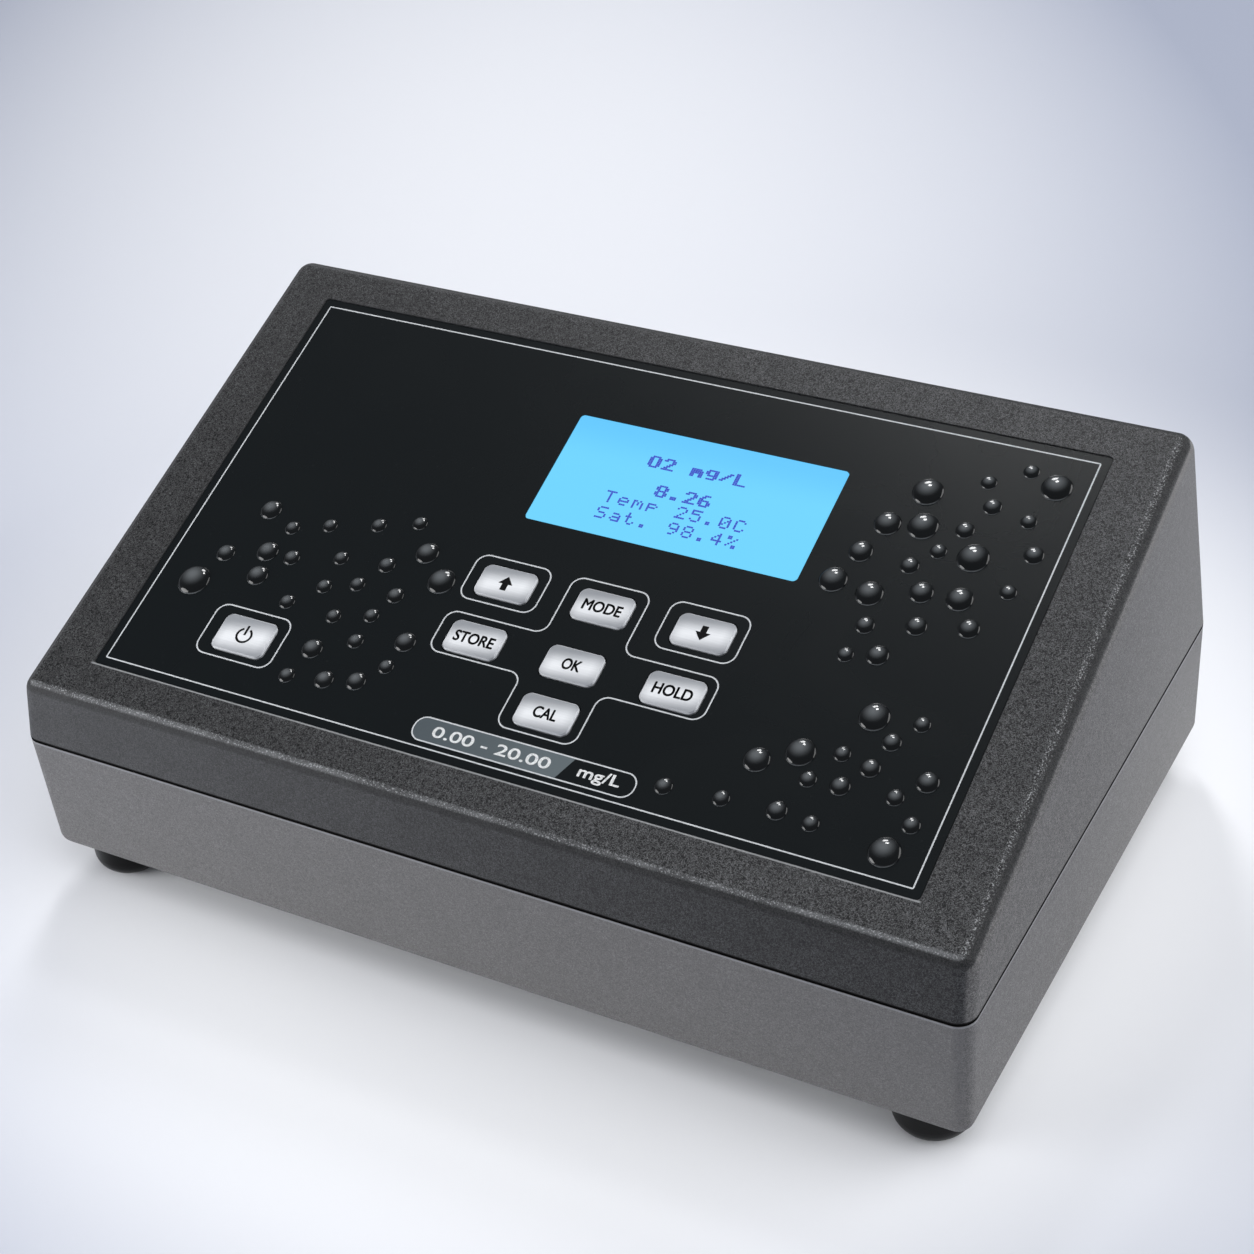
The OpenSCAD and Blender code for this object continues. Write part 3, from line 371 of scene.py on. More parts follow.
def cover_finish():
    """Charcoal moulded cover with a rubbed front edge that also carries a painted highlight, painted shade on its
    shoulders, lighter cheeks, painted light towards the right and the back, a painted highlight below the film and
    shade along the seam.
    """
    material, tree, sockets, place = blank("charcoal cover")
    skin = use(tree, grain, Coordinates=place, Pitch=GRAIN_PITCH, Fleck_Share=1.0)
    normal = face_normal(tree)
    edge = use(tree, wear_and_light, Coordinates=place, Normal=normal, Face=panel_normal)
    spot = split(tree, place)
    upper = fade(tree, vector_calc(tree, "DOT_PRODUCT", normal, panel_normal), *PANEL_LEAN)
    # Painted light: lighter towards the right and the back, and the front shaded apart from the top
    rightward = fade(tree, spot[0], *PAINTED_LIGHT_LEFT_TO_RIGHT)
    backward = fade(tree, spot[1], *PAINTED_LIGHT_FRONT_TO_BACK)
    more = fade(tree, rightward, 0.0, 1.0, 0.0, FLECKS_LIT_TO_RIGHT)
    strength = calc(tree, "ADD", fade(tree, upper, 0.0, 1.0, WALL_FLECKS, TOP_FLECKS), times(tree, upper, more))
    fleck = times(tree, skin["Flecks"], strength)
    near, far = (blend(tree, rightward, *pair) for pair in (COVER_TOP_NEAR, COVER_TOP_FAR))
    colour = blend(tree, upper, blend(tree, rightward, *COVER_FRONT), blend(tree, backward, near, far))
    colour = blend(tree, fleck, colour, "#6f7072")
    colour = blend(tree, fade(tree, skin["Mottle"], *MOTTLE_RANGE, 0.0, 0.1), colour, "#212224")
    cheek = blend(tree, skin["Flecks"], blend(tree, backward, *COVER_CHEEK), "#838281")
    colour = blend(tree, edge["Cheek"], colour, cheek)
    # A thin light line on the top just below the film's lower edge: a painted highlight
    panel = split(tree, on_panel_axes(tree, place))
    rim_top = -FILM_HEIGHT / 2 - FILM_GAP
    rim = line(tree, panel[1], rim_top - RIM_HIGHLIGHT_WIDTH, rim_top, RIM_HIGHLIGHT_WIDTH / 2)
    beside = calc(tree, "ABSOLUTE", panel[0])
    rim = times(tree, rim, fade(tree, beside, FILM_WIDTH / 2, FILM_WIDTH / 2 + MM, 1.0, 0.0), upper)
    seam = line(tree, spot[2], SEAM_HEIGHT - MM, SEAM_HEIGHT + 0.2 * MM, 0.2 * MM)
    # Painted shade on the shoulders, a worn crest that is also a painted highlight, worn specks, the painted highlight
    # below the film and painted shade along the seam
    colour = coats(tree, colour, (edge["Shoulder"], 0.55, "#191a1b"), (edge["Crest"], 0.42, "#8d8f91"),
                   (edge["Specks"], 0.6, "#b4b6b8"), (rim, 0.6, "#a9abad"), (seam, 0.9, SEAM_SHADE))
    feed(tree, sockets, Base_Color=colour, Specular_IOR_Level=0.22,
         Roughness=calc(tree, "MAXIMUM", fade(tree, fleck, 0.0, 0.5, 0.66, 0.5), seam),
         Normal=relief(tree, skin["Height"], 0.06 * MM, 0.6))
    return material


# The tray's colours, lit and shaded copies of one grey as painted light: front, side near the front, side near the
# back
TRAY_FRONT, TRAY_SIDE_NEAR, TRAY_SIDE_FAR = "#6a6969", "#5f5e5e", "#747372"
FLANK_FACING = (0.5, 0.8)
FLANK_LIGHT_DRIFT = (-40 * MM, 70 * MM)


def tray_finish():
    """Mid grey moulded tray with a softer grain, a painted highlight just under the seam, painted light on its sides,
    painted shade near the bottom and shade along the seam.
    """
    material, tree, sockets, place = blank("grey tray")
    skin = use(tree, grain, Coordinates=place, Pitch=GRAIN_PITCH, Fleck_Share=0.6)
    spot = split(tree, place)
    facing = split(tree, face_normal(tree))
    # Painted light: the sides shaded apart from the front, and lighter towards the back
    flank = fade(tree, calc(tree, "ABSOLUTE", facing[0]), *FLANK_FACING)
    lighter = times(tree, flank, fade(tree, spot[1], *FLANK_LIGHT_DRIFT))
    colour = blend(tree, lighter, blend(tree, flank, TRAY_FRONT, TRAY_SIDE_NEAR), TRAY_SIDE_FAR)
    colour = blend(tree, skin["Flecks"], colour, "#979696")
    colour = blend(tree, fade(tree, skin["Mottle"], *MOTTLE_RANGE, 0.0, 0.05), colour, "#5c5b5b")
    # A light line just under the seam: a painted highlight
    lip_highlight = line(tree, spot[2], SEAM_HEIGHT - 1.2 * MM, SEAM_HEIGHT - 0.75 * MM, 0.15 * MM)
    seam = line(tree, spot[2], SEAM_HEIGHT - 0.62 * MM, SEAM_HEIGHT + MM, 0.05 * MM)
    colour = blend(tree, seam, coats(tree, colour, (lip_highlight, 0.35, "#b0b1b4")), SEAM_SHADE)
    shade_of_feet = fade(tree, spot[2], FOOT_HEIGHT - MM, FOOT_HEIGHT + 3 * MM, 0.35, 0.0)
    colour = blend(tree, shade_of_feet, colour, "#4a4b4d")
    feed(tree, sockets, Base_Color=colour, Specular_IOR_Level=0.2,
         Roughness=calc(tree, "MAXIMUM", fade(tree, skin["Flecks"], 0.0, 0.3, 0.62, 0.52), seam),
         Normal=relief(tree, skin["Height"], 0.04 * MM, 0.7))
    return material


def film_finish():
    """Near-black printed film under a satin clear layer."""
    material, tree, sockets, place = blank("black printed film")
    touch = use(tree, handling, Coordinates=place, Amount=0.5)
    fine = noise(tree, place, 5200.0, 1.0)
    feed(tree, sockets, Base_Color=coats(tree, "#090e10", (touch["Dust"], 0.05, "#8c9297")),
         Specular_IOR_Level=0.36, IOR=1.48, Roughness=calc(tree, "ADD", times(tree, touch["Smears"], 0.03), 0.27),
         Normal=relief(tree, fine, 0.004 * MM, 0.3))
    return material


def ink_finish(name, code, roughness, ink_glow=0.0):
    """Screen-printed ink, a little uneven in its coverage."""
    material, tree, sockets, place = blank(name)
    thin = tuple(c * 0.82 for c in paint(code)[:3]) + (1.0,)
    colour = blend(tree, fade(tree, noise(tree, place, 2600.0), 0.35, 0.6), thin, code)
    feed(tree, sockets, Base_Color=colour, Roughness=roughness, Specular_IOR_Level=0.15)
    # A glow makes the ink give off light of its own
    if ink_glow:
        feed(tree, sockets, Emission_Color=colour, Emission_Strength=ink_glow)
    return material


# Silver keys: lengths are shares of the key's own width or height
KEY_BAND_SLANT = -0.22
KEY_BAND_SHIFT = 0.06
KEY_ENDS = (0.3, 0.5)
KEY_RIM_HIGHLIGHT_ALONG = (0.455, 0.475)
KEY_RIM_HIGHLIGHT_ACROSS = (0.47, 0.483)


def key_finish(name, key):
    """Silver key face: a soft bright band across the middle between greyer edges, with fine brushing."""
    material, tree, sockets, place = blank(name + " key silver")
    x, y, width, height = key
    turned = on_panel_axes(tree, place, panel_place @ Vector((x * MM, y * MM, 0)))
    spot = split(tree, turned)
    across = calc(tree, "DIVIDE", spot[0], width * MM)
    along = calc(tree, "DIVIDE", spot[1], height * MM)
    off_middle = calc(tree, "ABSOLUTE", across)
    tilt = calc(tree, "ADD", along, times(tree, across, KEY_BAND_SLANT))
    band = calc(tree, "ABSOLUTE", calc(tree, "ADD", tilt, KEY_BAND_SHIFT))
    colour = blend(tree, fade(tree, band, 0.0, 0.5), "#e9ebee", "#8f9297")
    colour = blend(tree, fade(tree, off_middle, *KEY_ENDS, 0.0, 0.35), colour, "#8a8d92")
    strokes = use(tree, brushed, Coordinates=turned, Stretch=(0.03, 1.0, 1.0), Rate=5200.0)
    colour = blend(tree, fade(tree, strokes["Strokes"], 0.3, 0.7, 0.0, 0.12), colour, "#85888d")
    # A lighter line round the face's edge: a painted highlight on its bevel
    rim = calc(tree, "MAXIMUM", fade(tree, calc(tree, "ABSOLUTE", along), *KEY_RIM_HIGHLIGHT_ALONG),
               fade(tree, off_middle, *KEY_RIM_HIGHLIGHT_ACROSS))
    feed(tree, sockets, Base_Color=coats(tree, colour, (rim, 0.35, "#d5d8dc")), Metallic=0.0,
         Specular_IOR_Level=0.45, Roughness=fade(tree, strokes["Clouds"], 0.3, 0.7, 0.36, 0.44),
         Normal=relief(tree, strokes["Strokes"], 0.004 * MM, 0.3))
    return material


READOUT_DEEPENS = 0.6


def readout_finish():
    """Backlit display seen through its bonded window: pale blue, a little deeper towards its upper edge."""
    material, tree, sockets, place = blank("lit display window")
    low, top = ((panel_place @ Vector((0, (WINDOW[1] + side * WINDOW[3] / 2) * MM, 0))).y for side in (-1, 1))
    rise = fade(tree, split(tree, place)[1], low + READOUT_DEEPENS * (top - low), top)
    mesh = add(tree, "ShaderNodeTexChecker", {"Vector": place, "Scale": 3600.0}).outputs["Fac"]
    colour = coats(tree, blend(tree, rise, "#70d2fc", "#62c4f8"), (mesh, 0.04, "#4aa6e0"))
    feed(tree, sockets, Base_Color="#20485a", Roughness=0.4, Specular_IOR_Level=0.2,
         Emission_Color=colour, Emission_Strength=0.93)
    return material


def plastic(name, code, roughness, pitch=0.5, depth=0.03, fleck=0.1, gloss=0.45):
    """Small moulded plastic parts with their own fine grain, its pitch and depth in millimetres."""
    material, tree, sockets, place = blank(name)
    skin = use(tree, grain, Coordinates=place, Pitch=pitch * MM, Fleck_Share=fleck)
    light = tuple(min(c * 1.5 + 0.02, 1.0) for c in paint(code)[:3]) + (1.0,)
    dark = tuple(c * 0.78 for c in paint(code)[:3]) + (1.0,)
    colour = blend(tree, skin["Flecks"], code, light)
    colour = blend(tree, fade(tree, skin["Mottle"], 0.4, 0.65, 0.0, 0.35), colour, dark)
    feed(tree, sockets, Base_Color=colour, Specular_IOR_Level=gloss,
         Roughness=fade(tree, skin["Mottle"], 0.3, 0.7, roughness, roughness + 0.1),
         Normal=relief(tree, skin["Height"], depth * MM, 0.5))
    return material


def metal(name, code, roughness, stretch=(0.04, 1, 1), tarnish="#6e6a62"):
    """Plated or drawn metal with brushing along one axis and a little tarnish."""
    material, tree, sockets, place = blank(name)
    strokes = use(tree, brushed, Coordinates=place, Stretch=stretch, Rate=4200.0)
    colour = blend(tree, fade(tree, strokes["Clouds"], 0.55, 0.8, 0.0, 0.35), code, tarnish)
    colour = blend(tree, fade(tree, strokes["Strokes"], 0.3, 0.7, 0.0, 0.12), colour, "#3c3d3f")
    feed(tree, sockets, Base_Color=colour, Metallic=1.0,
         Roughness=fade(tree, strokes["Strokes"], 0.25, 0.75, roughness, roughness + 0.12),
         Normal=relief(tree, strokes["Strokes"], 0.01 * MM, 0.35))
    return material


def board_finish():
    """Green circuit board with copper tracks under the mask and a fine weave."""
    material, tree, sockets, place = blank("green circuit board")
    feeds = {"Vector": place, "Scale": 190.0, "Mortar Size": 0.045, "Mortar Smooth": 0.2, "Bias": 0.0,
             "Brick Width": 1.7, "Row Height": 0.5}
    tracks = add(tree, "ShaderNodeTexBrick", feeds).outputs["Fac"]
    weave = noise(tree, place, 1500.0)
    colour = blend(tree, tracks, "#1f5a38", "#3c8a5a")
    colour = blend(tree, fade(tree, weave, 0.4, 0.7, 0.0, 0.25), colour, "#184a2d")
    feed(tree, sockets, Base_Color=colour, Specular_IOR_Level=0.5,
         Roughness=fade(tree, weave, 0.3, 0.7, 0.3, 0.42), Normal=relief(tree, tracks, 0.03 * MM, 0.6))
    return material


CORE_PITCH = 1.27 * MM


def ribbon_finish():
    """Flat cable of parallel cores."""
    material, tree, sockets, place = blank("grey ribbon cable")
    cores = calc(tree, "SINE", times(tree, split(tree, place)[0], 2 * math.pi / CORE_PITCH))
    # The grooves between the cores are darker: painted shade
    colour = blend(tree, fade(tree, cores, -0.9, -0.3), "#6f757b", "#a3a8ad")
    colour = blend(tree, fade(tree, noise(tree, place, 90.0), 0.4, 0.8, 0.0, 0.2), colour, "#8b8f94")
    feed(tree, sockets, Base_Color=colour, Roughness=0.5, Normal=relief(tree, cores, 0.1 * MM, 0.6))
    return material


# Places on a bead, as shares of its radius, for its painted glow and the painted glint along its foot
BEAD_PAINTED_GLOW_CENTRE = (-0.08, 0.22, 0.3)
BEAD_PAINTED_GLOW_REACH = (0.05, 0.85)
BEAD_GLINT_RISE = (0.01, 0.09)
BEAD_GLINT_FRONT = (-0.9, -0.3)


def bead_finish():
    """Clear raised bead over black: a painted glow of light at its middle, a dark rim and a thin painted glint along
    its foot.
    """
    material, tree, sockets, place = blank("clear bead over black")
    touch = use(tree, handling, Coordinates=place, Amount=0.3)
    own = add(tree, "ShaderNodeAttribute", attribute_name="bead_place", attribute_type="GEOMETRY").outputs["Vector"]
    # A painted glow round the middle and a painted glint along the front of the foot
    middle = vector_calc(tree, "DISTANCE", own, BEAD_PAINTED_GLOW_CENTRE)
    colour = blend(tree, fade(tree, middle, *BEAD_PAINTED_GLOW_REACH, 0.6, 0.0), "#0a0c0d", "#75797c")
    spot = split(tree, own)
    foot = times(tree, fade(tree, spot[2], *BEAD_GLINT_RISE, 1.0, 0.0), fade(tree, spot[1], *BEAD_GLINT_FRONT, 1.0, 0.0))
    colour = coats(tree, colour, (foot, 0.5, "#8f9497"), (touch["Smears"], 0.1, "#2c3134"))
    feed(tree, sockets, Base_Color=colour, IOR=1.45, Specular_IOR_Level=0.5,
         Roughness=calc(tree, "ADD", times(tree, touch["Smears"], 0.05), 0.07))
    return material


def badge_finish():
    """Grey printed field of the badge, lighter towards its right."""
    material, tree, sockets, place = blank("grey badge print")
    drift = fade(tree, split(tree, place)[0], -20 * MM, 30 * MM)
    shade = fade(tree, noise(tree, place, 35.0, 1.0), 0.4, 0.7, 0.0, 0.3)
    colour = blend(tree, shade, blend(tree, drift, "#4c5459", "#5d6669"), "#69727a")
    feed(tree, sockets, Base_Color=colour, Roughness=0.3, Specular_IOR_Level=0.4)
    return material


lit_window = readout_finish()
steel = metal("bright screw steel", "#c6c8ca", 0.24)
can = metal("tinned can steel", "#bcbfc2", 0.3, (1, 0.04, 1))
board = board_finish()
chip = plastic("black chip epoxy", "#202224", 0.42, 0.4, 0.01, 0.12)
header = plastic("black header nylon", "#26282b", 0.45)
ribbon = ribbon_finish()
nickel = metal("nickel plate", "#c9ccd0", 0.2, (1, 0.05, 1))
plunger = plastic("ivory plunger", "#e6e1d2", 0.4, 0.6, 0.01, 0.1)
FINISHES = {
    "top_cover": cover_finish(), "base_tray": tray_finish(), "front_film": film_finish(),
    "display_lens": lit_window, "display_glass": lit_window,
    "feet": plastic("black foot rubber", "#030304", 0.3, 0.9, 0.01, 0.01, 0.15),
    "display_frame": metal("frame steel", "#a9acb0", 0.32),
    "display_light_guide": plastic("frosted light guide", "#e4f0f5", 0.35, 0.8, 0.01, 0.2),
    "display_board": board, "keypad_board": board, "main_board": board,
    "display_screws": steel, "keypad_screws": steel, "main_board_screws": steel, "case_screws": steel,
    "switch_bodies": plastic("black switch nylon", "#1f2123", 0.5),
    "panel_headers": header, "board_headers": header,
    "ribbon_plugs": plastic("dark grey plug nylon", "#3b3e41", 0.48),
    "display_ribbon": ribbon, "keypad_ribbon": ribbon,
    "controller_chip": chip, "small_chips": chip, "amplifier_chip": chip, "regulator": chip,
    "crystal": can, "shield_can": can,
    "capacitors": plastic("blue capacitor sleeve", "#2c3c72", 0.3, 0.8, 0.01, 0.08),
    "heat_sink": metal("anodised aluminium", "#8f9397", 0.4),
    "buzzer": plastic("black buzzer shell", "#1b1c1e", 0.45),
    "cell_holder": plastic("black cell holder", "#232527", 0.5),
    "clock_cell": metal("clock cell steel", "#c4c6c8", 0.22),
    "probe_socket": nickel, "probe_washer": nickel, "probe_nut": nickel, "temperature_nut": nickel,
    "data_port": nickel, "power_jack_pin": nickel,
    "probe_insulator": plastic("white insulator", "#ece9e1", 0.35, 0.8, 0.01, 0.1),
    "data_port_tongue": plastic("white port tongue", "#e9e7e0", 0.4, 0.8, 0.01, 0.1),
    "probe_contact": metal("gold contact", "#d9ab4c", 0.18, (1, 0.05, 1), "#8a6424"),
    "temperature_socket": plastic("black socket nylon", "#17181a", 0.36),
    "power_jack": plastic("black jack nylon", "#191a1c", 0.4),
}
for name, key in KEYS.items():
    FINISHES["key_" + name] = key_finish(name, key)
    FINISHES["plunger_" + name] = plunger
for node, material in FINISHES.items():
    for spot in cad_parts[node].material_slots:
        spot.material = material

line_ink = ink_finish("silver line ink", "#c8cbce", 0.3)
# The white legend ink's glow is painted light: printed ink gives none
white_ink = ink_finish("white legend ink", "#f4f5f6", 0.4, 0.12)
black_ink = ink_finish("black legend ink", "#050506", 0.6)
dot_ink = ink_finish("violet display segments", "#3c48b4", 0.5, 0.25)
badge_ink = badge_finish()
bead = bead_finish()

# Faceted mouldings are shaded round
SHARP_ANGLE = math.radians(25)
SAME_PLACE = 1e-6


def round_shading():
    """Shades every edge flatter than an angle as round, and keeps true corners crisp."""
    inputs = [("Geometry", GEOMETRY, None), ("Sharp Angle", FLOAT, SHARP_ANGLE)]
    tree, given, result = new_tree("round shading", GEOMETRY_TREE, inputs, [("Geometry", GEOMETRY)])
    joined = add(tree, "GeometryNodeMergeByDistance", {"Geometry": given["Geometry"], "Distance": SAME_PLACE})
    plain = add(tree, "GeometryNodeRemoveAttribute", {"Geometry": joined, "Name": "custom_normal"})
    smooth = add(tree, "GeometryNodeSetShadeSmooth", {0: plain, "Shade Smooth": True})
    angle = add(tree, "GeometryNodeInputMeshEdgeAngle").outputs["Unsigned Angle"]
    sharp = add(tree, "FunctionNodeCompare", {0: angle, 1: given["Sharp Angle"]}, operation="GREATER_THAN")
    feeds = {0: smooth, "Selection": sharp, "Shade Smooth": False}
    feed(tree, result, Geometry=add(tree, "GeometryNodeSetShadeSmooth", feeds, domain="EDGE"))
    return tree


shading = round_shading()
for node in ["top_cover", "base_tray"] + ["key_" + name for name in KEYS]:
    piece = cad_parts[node]
    piece.modifiers.new("round shading", "NODES").node_group = shading
    piece.modifiers.new("flat faces stay flat", "WEIGHTED_NORMAL").keep_sharp = True


# Making and placing pieces
def settle(piece, body, material=None):
    """Gives a piece its finish and body."""
    if material:
        piece.data.materials.clear()
        piece.data.materials.append(material)
    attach(piece, body)
    return piece


def on_panel(x, y, level):
    """A place over a point of the panel, turned as the panel is."""
    return panel_place @ Matrix.Translation((x * MM, y * MM, level))


def bare_object(name, data):
    """A mesh, curve, lamp or camera as an object of the scene."""
    piece = bpy.data.objects.new(name, data)
    bpy.context.scene.collection.objects.link(piece)
    return piece


def new_mesh(name, corners, edges=(), faces=()):
    """A mesh of these corners, edges and faces."""
    mesh = bpy.data.meshes.new(name)
    mesh.from_pydata(corners, edges, faces)
    return mesh


def laid_out(points, level=0.0):
    """Points in millimetres as corners at a level in metres."""
    return [(x * MM, y * MM, level) for x, y in points]


def plain_mesh(piece):
    """The finished mesh of a text or of an object with modifiers. The object itself goes."""
    mesh = bpy.data.meshes.new_from_object(piece.evaluated_get(bpy.context.evaluated_depsgraph_get()))
    bpy.data.objects.remove(piece)
    return mesh


def grown(name, mesh, tree, **values):
    """Runs a Geometry Nodes tree on a mesh with these inputs, and returns the result as a plain mesh."""
    seed = bare_object(name + ".seed", mesh)
    modifier = seed.modifiers.new("growth", "NODES")
    modifier.node_group = tree
    for item in tree.interface.items_tree:
        key = item.name.replace(" ", "_")
        if item.in_out == "INPUT" and key in values:
            modifier[item.identifier] = values[key]
    result = plain_mesh(seed)
    result.name = name
    return result


# Printed things on the panel, in millimetres
INK = 0.04
THIN_INK = 0.02
CORNER_STEPS = 10
LINE_WIDTH = 0.36
RING_CORNER = 3.0


def coat_and_end(tree, shape, given, result):
    """Gives a grown shape the material that its tree was handed, as the tree's result."""
    coated = add(tree, "GeometryNodeSetMaterial", {"Geometry": shape, "Material": given["Material"]})
    feed(tree, result, Geometry=coated)


def printed_line_tree():
    """A line of even width and rounded corners along an outline, as thin as ink."""
    inputs = [("Geometry", GEOMETRY, None), ("Line Width", FLOAT, 0.00045), ("Ink", FLOAT, INK * MM),
              ("Corner Radius", FLOAT, 0.003), ("Material", MATERIAL, None)]
    tree, given, result = new_tree("printed line", GEOMETRY_TREE, inputs, [("Geometry", GEOMETRY)])
    path = add(tree, "GeometryNodeMeshToCurve", {"Mesh": given["Geometry"]})
    feeds = {"Curve": path, "Radius": given["Corner Radius"], "Limit Radius": True, "Count": CORNER_STEPS}
    rounded = add(tree, "GeometryNodeFilletCurve", feeds, mode="POLY")
    level = add(tree, "GeometryNodeSetCurveNormal", {"Curve": rounded}, mode="Z_UP")
    bar = add(tree, "GeometryNodeCurvePrimitiveQuadrilateral", {"Width": given["Line Width"], "Height": given["Ink"]})
    drawn = add(tree, "GeometryNodeCurveToMesh", {"Curve": level, "Profile Curve": bar})
    flat = add(tree, "GeometryNodeSetShadeSmooth", {0: drawn, "Shade Smooth": False})
    coat_and_end(tree, flat, given, result)
    return tree


printed_line = printed_line_tree()


def rectangle(left, low, right, high):
    """The corners of a rectangle."""
    return [(left, low), (right, low), (right, high), (left, high)]


def print_line(name, points, width=LINE_WIDTH, corner=RING_CORNER):
    """A printed line on the film along a closed outline."""
    outline = new_mesh("outline", laid_out(points), [(i, (i + 1) % len(points)) for i in range(len(points))])
    mesh = grown(name, outline, printed_line, Line_Width=width * MM, Corner_Radius=corner * MM, Material=line_ink)
    mesh.transform(Matrix.Translation((0, 0, FILM_TOP)))
    mesh.transform(panel_place)
    return settle(bare_object(name, mesh), "housing")


def flat_shape(name, loops, level, thickness, material, body, place=panel_place):
    """Flat printed shapes, each a closed outline, given a thin even coat from a level up."""
    corners, faces = [], []
    for loop in loops:
        start = len(corners)
        count = len(loop)
        corners += laid_out(loop, level) + laid_out(loop, level + thickness * MM)
        faces.append([start + i for i in reversed(range(count))])
        faces.append([start + count + i for i in range(count)])
        for i in range(count):
            j = (i + 1) % count
            faces.append([start + i, start + j, start + count + j, start + count + i])
    mesh = new_mesh(name, corners, faces=faces)
    mesh.transform(place)
    return settle(bare_object(name, mesh), body, material)


def around(radius, turn, x=0.0, y=0.0):
    """A point on a circle."""
    return x + radius * math.cos(turn), y + radius * math.sin(turn)


STRIKES = 6
LETTER_DEPTH = 0.01
LETTER_STEPS = 6


def legend(name, words, height, width, place, material, body, weight=0.12):
    """Lettering of a height and a width, centred on a place, and struck round a small circle for its weight."""
    text = bpy.data.curves.new(name, "FONT")
    text.body = words
    text.extrude = LETTER_DEPTH
    text.resolution_u = LETTER_STEPS
    letters = plain_mesh(bare_object(name + ".text", text))
    low = [min(v.co[i] for v in letters.vertices) for i in range(3)]
    high = [max(v.co[i] for v in letters.vertices) for i in range(3)]
    middle = [(a + b) / 2 for a, b in zip(low, high)]
    scale = ((width - weight) * MM / (high[0] - low[0]), (height - weight) * MM / (high[1] - low[1]),
             INK * MM / (high[2] - low[2]))
    letters.transform(Matrix.Diagonal((*scale, 1)) @ Matrix.Translation((-middle[0], -middle[1], -low[2])))
    strikes = bmesh.new()
    for i in range(STRIKES):
        struck = letters.copy()
        struck.transform(Matrix.Translation((*around(weight / 2 * MM, 2 * math.pi * i / STRIKES), 0)))
        strikes.from_mesh(struck)
        bpy.data.meshes.remove(struck)
    strikes.to_mesh(letters)
    strikes.free()
    letters.transform(place)
    letters.name = name
    return settle(bare_object(name, letters), body, material)


# Printed film: border, frames round the keys, and the badge
BORDER = (-106.05, -57.9, 106.05, 57.9)
BORDER_WIDTH = 0.34
BORDER_CORNER = 0.25
KEY_FRAMES = {"power_ring": (-85.1, -49.7, -63.5, -35.2), "up_ring": (-27.2, -17.2, -6.8, -4.2),
              "down_ring": (25.0, -17.2, 45.5, -3.9)}
CROSS = [(-27.1, -33.0), (-1.2, -33.0), (-1.2, -47.4), (19.4, -47.4), (19.4, -33.0), (45.1, -33.0),
         (45.1, -21.2), (19.4, -21.2), (19.4, -4.1), (-1.2, -4.1), (-1.2, -21.2), (-27.1, -21.2)]
BADGE = (-19.8, -56.3, 37.9, -50.0)
BADGE_LINE = 0.35
BADGE_CORNER = 2.9
BADGE_INSET = 0.18
BADGE_SLANT = (18.9, 21.5)

print_line("border_line", rectangle(*BORDER), BORDER_WIDTH, BORDER_CORNER)
for name, frame_of_key in KEY_FRAMES.items():
    print_line(name, rectangle(*frame_of_key))
print_line("cross_line", CROSS)
print_line("badge_line", rectangle(*BADGE), BADGE_LINE, BADGE_CORNER)


def badge_field(steps=8, rounding=0.2):
    """The badge's filled part: round at its left end and cut at a slant on its right."""
    left, low, right, high = BADGE
    left, low, high = left + BADGE_INSET, low + BADGE_INSET, high - BADGE_INSET
    radius = (high - low) / 2 - rounding
    points = [(BADGE_SLANT[0], low), (BADGE_SLANT[1], high)]
    for cx, cy, start in ((left + radius, high - radius, 90), (left + radius, low + radius, 180)):
        for i in range(steps + 1):
            points.append(around(radius, math.radians(start + 90 * i / steps), cx, cy))
    return points


flat_shape("badge_field", [badge_field()], FILM_TOP, THIN_INK, badge_ink, "housing")

BADGE_WORDS = {"badge_range": ("0.00 - 20.00", 3.0, 31, (0.9, -53.15), 0.14),
               "badge_unit": ("mg/L", 3.8, 10.6, (28.9, -53.2), 0.16)}
for name, (words, height, width, (x, y), weight) in BADGE_WORDS.items():
    legend(name, words, height, width, on_panel(x, y, FILM_TOP + THIN_INK * MM), white_ink, "housing",
           weight)

# Key legends, each riding on its key
WORDS = {"mode": ("MODE", 10.2), "store": ("STORE", 10.8), "ok": ("OK", 4.9), "hold": ("HOLD", 10.0),
         "cal": ("CAL", 6.2)}
WORD_HEIGHT = 3.1
WORD_WEIGHT = 0.2
ARROW = [(-0.78, -1.95), (0.78, -1.95), (0.78, -0.15), (1.9, -0.15), (0, 2.0), (-1.9, -0.15), (-0.78, -0.15)]
SYMBOL_RADIUS = 1.95
SYMBOL_STROKE = 0.56
SYMBOL_GAP = 27
SYMBOL_STEPS = 30
SYMBOL_BAR = (0.1, 2.85)


def on_key(name):
    """The middle of a key's face."""
    return on_panel(*KEYS[name][:2], KEY_TOP)


def power_symbol():
    """A ring open at its top and a bar that stands in the opening."""
    first, sweep = 90 + SYMBOL_GAP, 360 - 2 * SYMBOL_GAP
    turns = [math.radians(first + sweep * i / SYMBOL_STEPS) for i in range(SYMBOL_STEPS + 1)]
    outer, inner = ([around(SYMBOL_RADIUS + side * SYMBOL_STROKE / 2, turn) for turn in turns] for side in (1, -1))
    bar = rectangle(-SYMBOL_STROKE / 2, SYMBOL_BAR[0], SYMBOL_STROKE / 2, SYMBOL_BAR[1])
    return [outer + inner[::-1], bar]


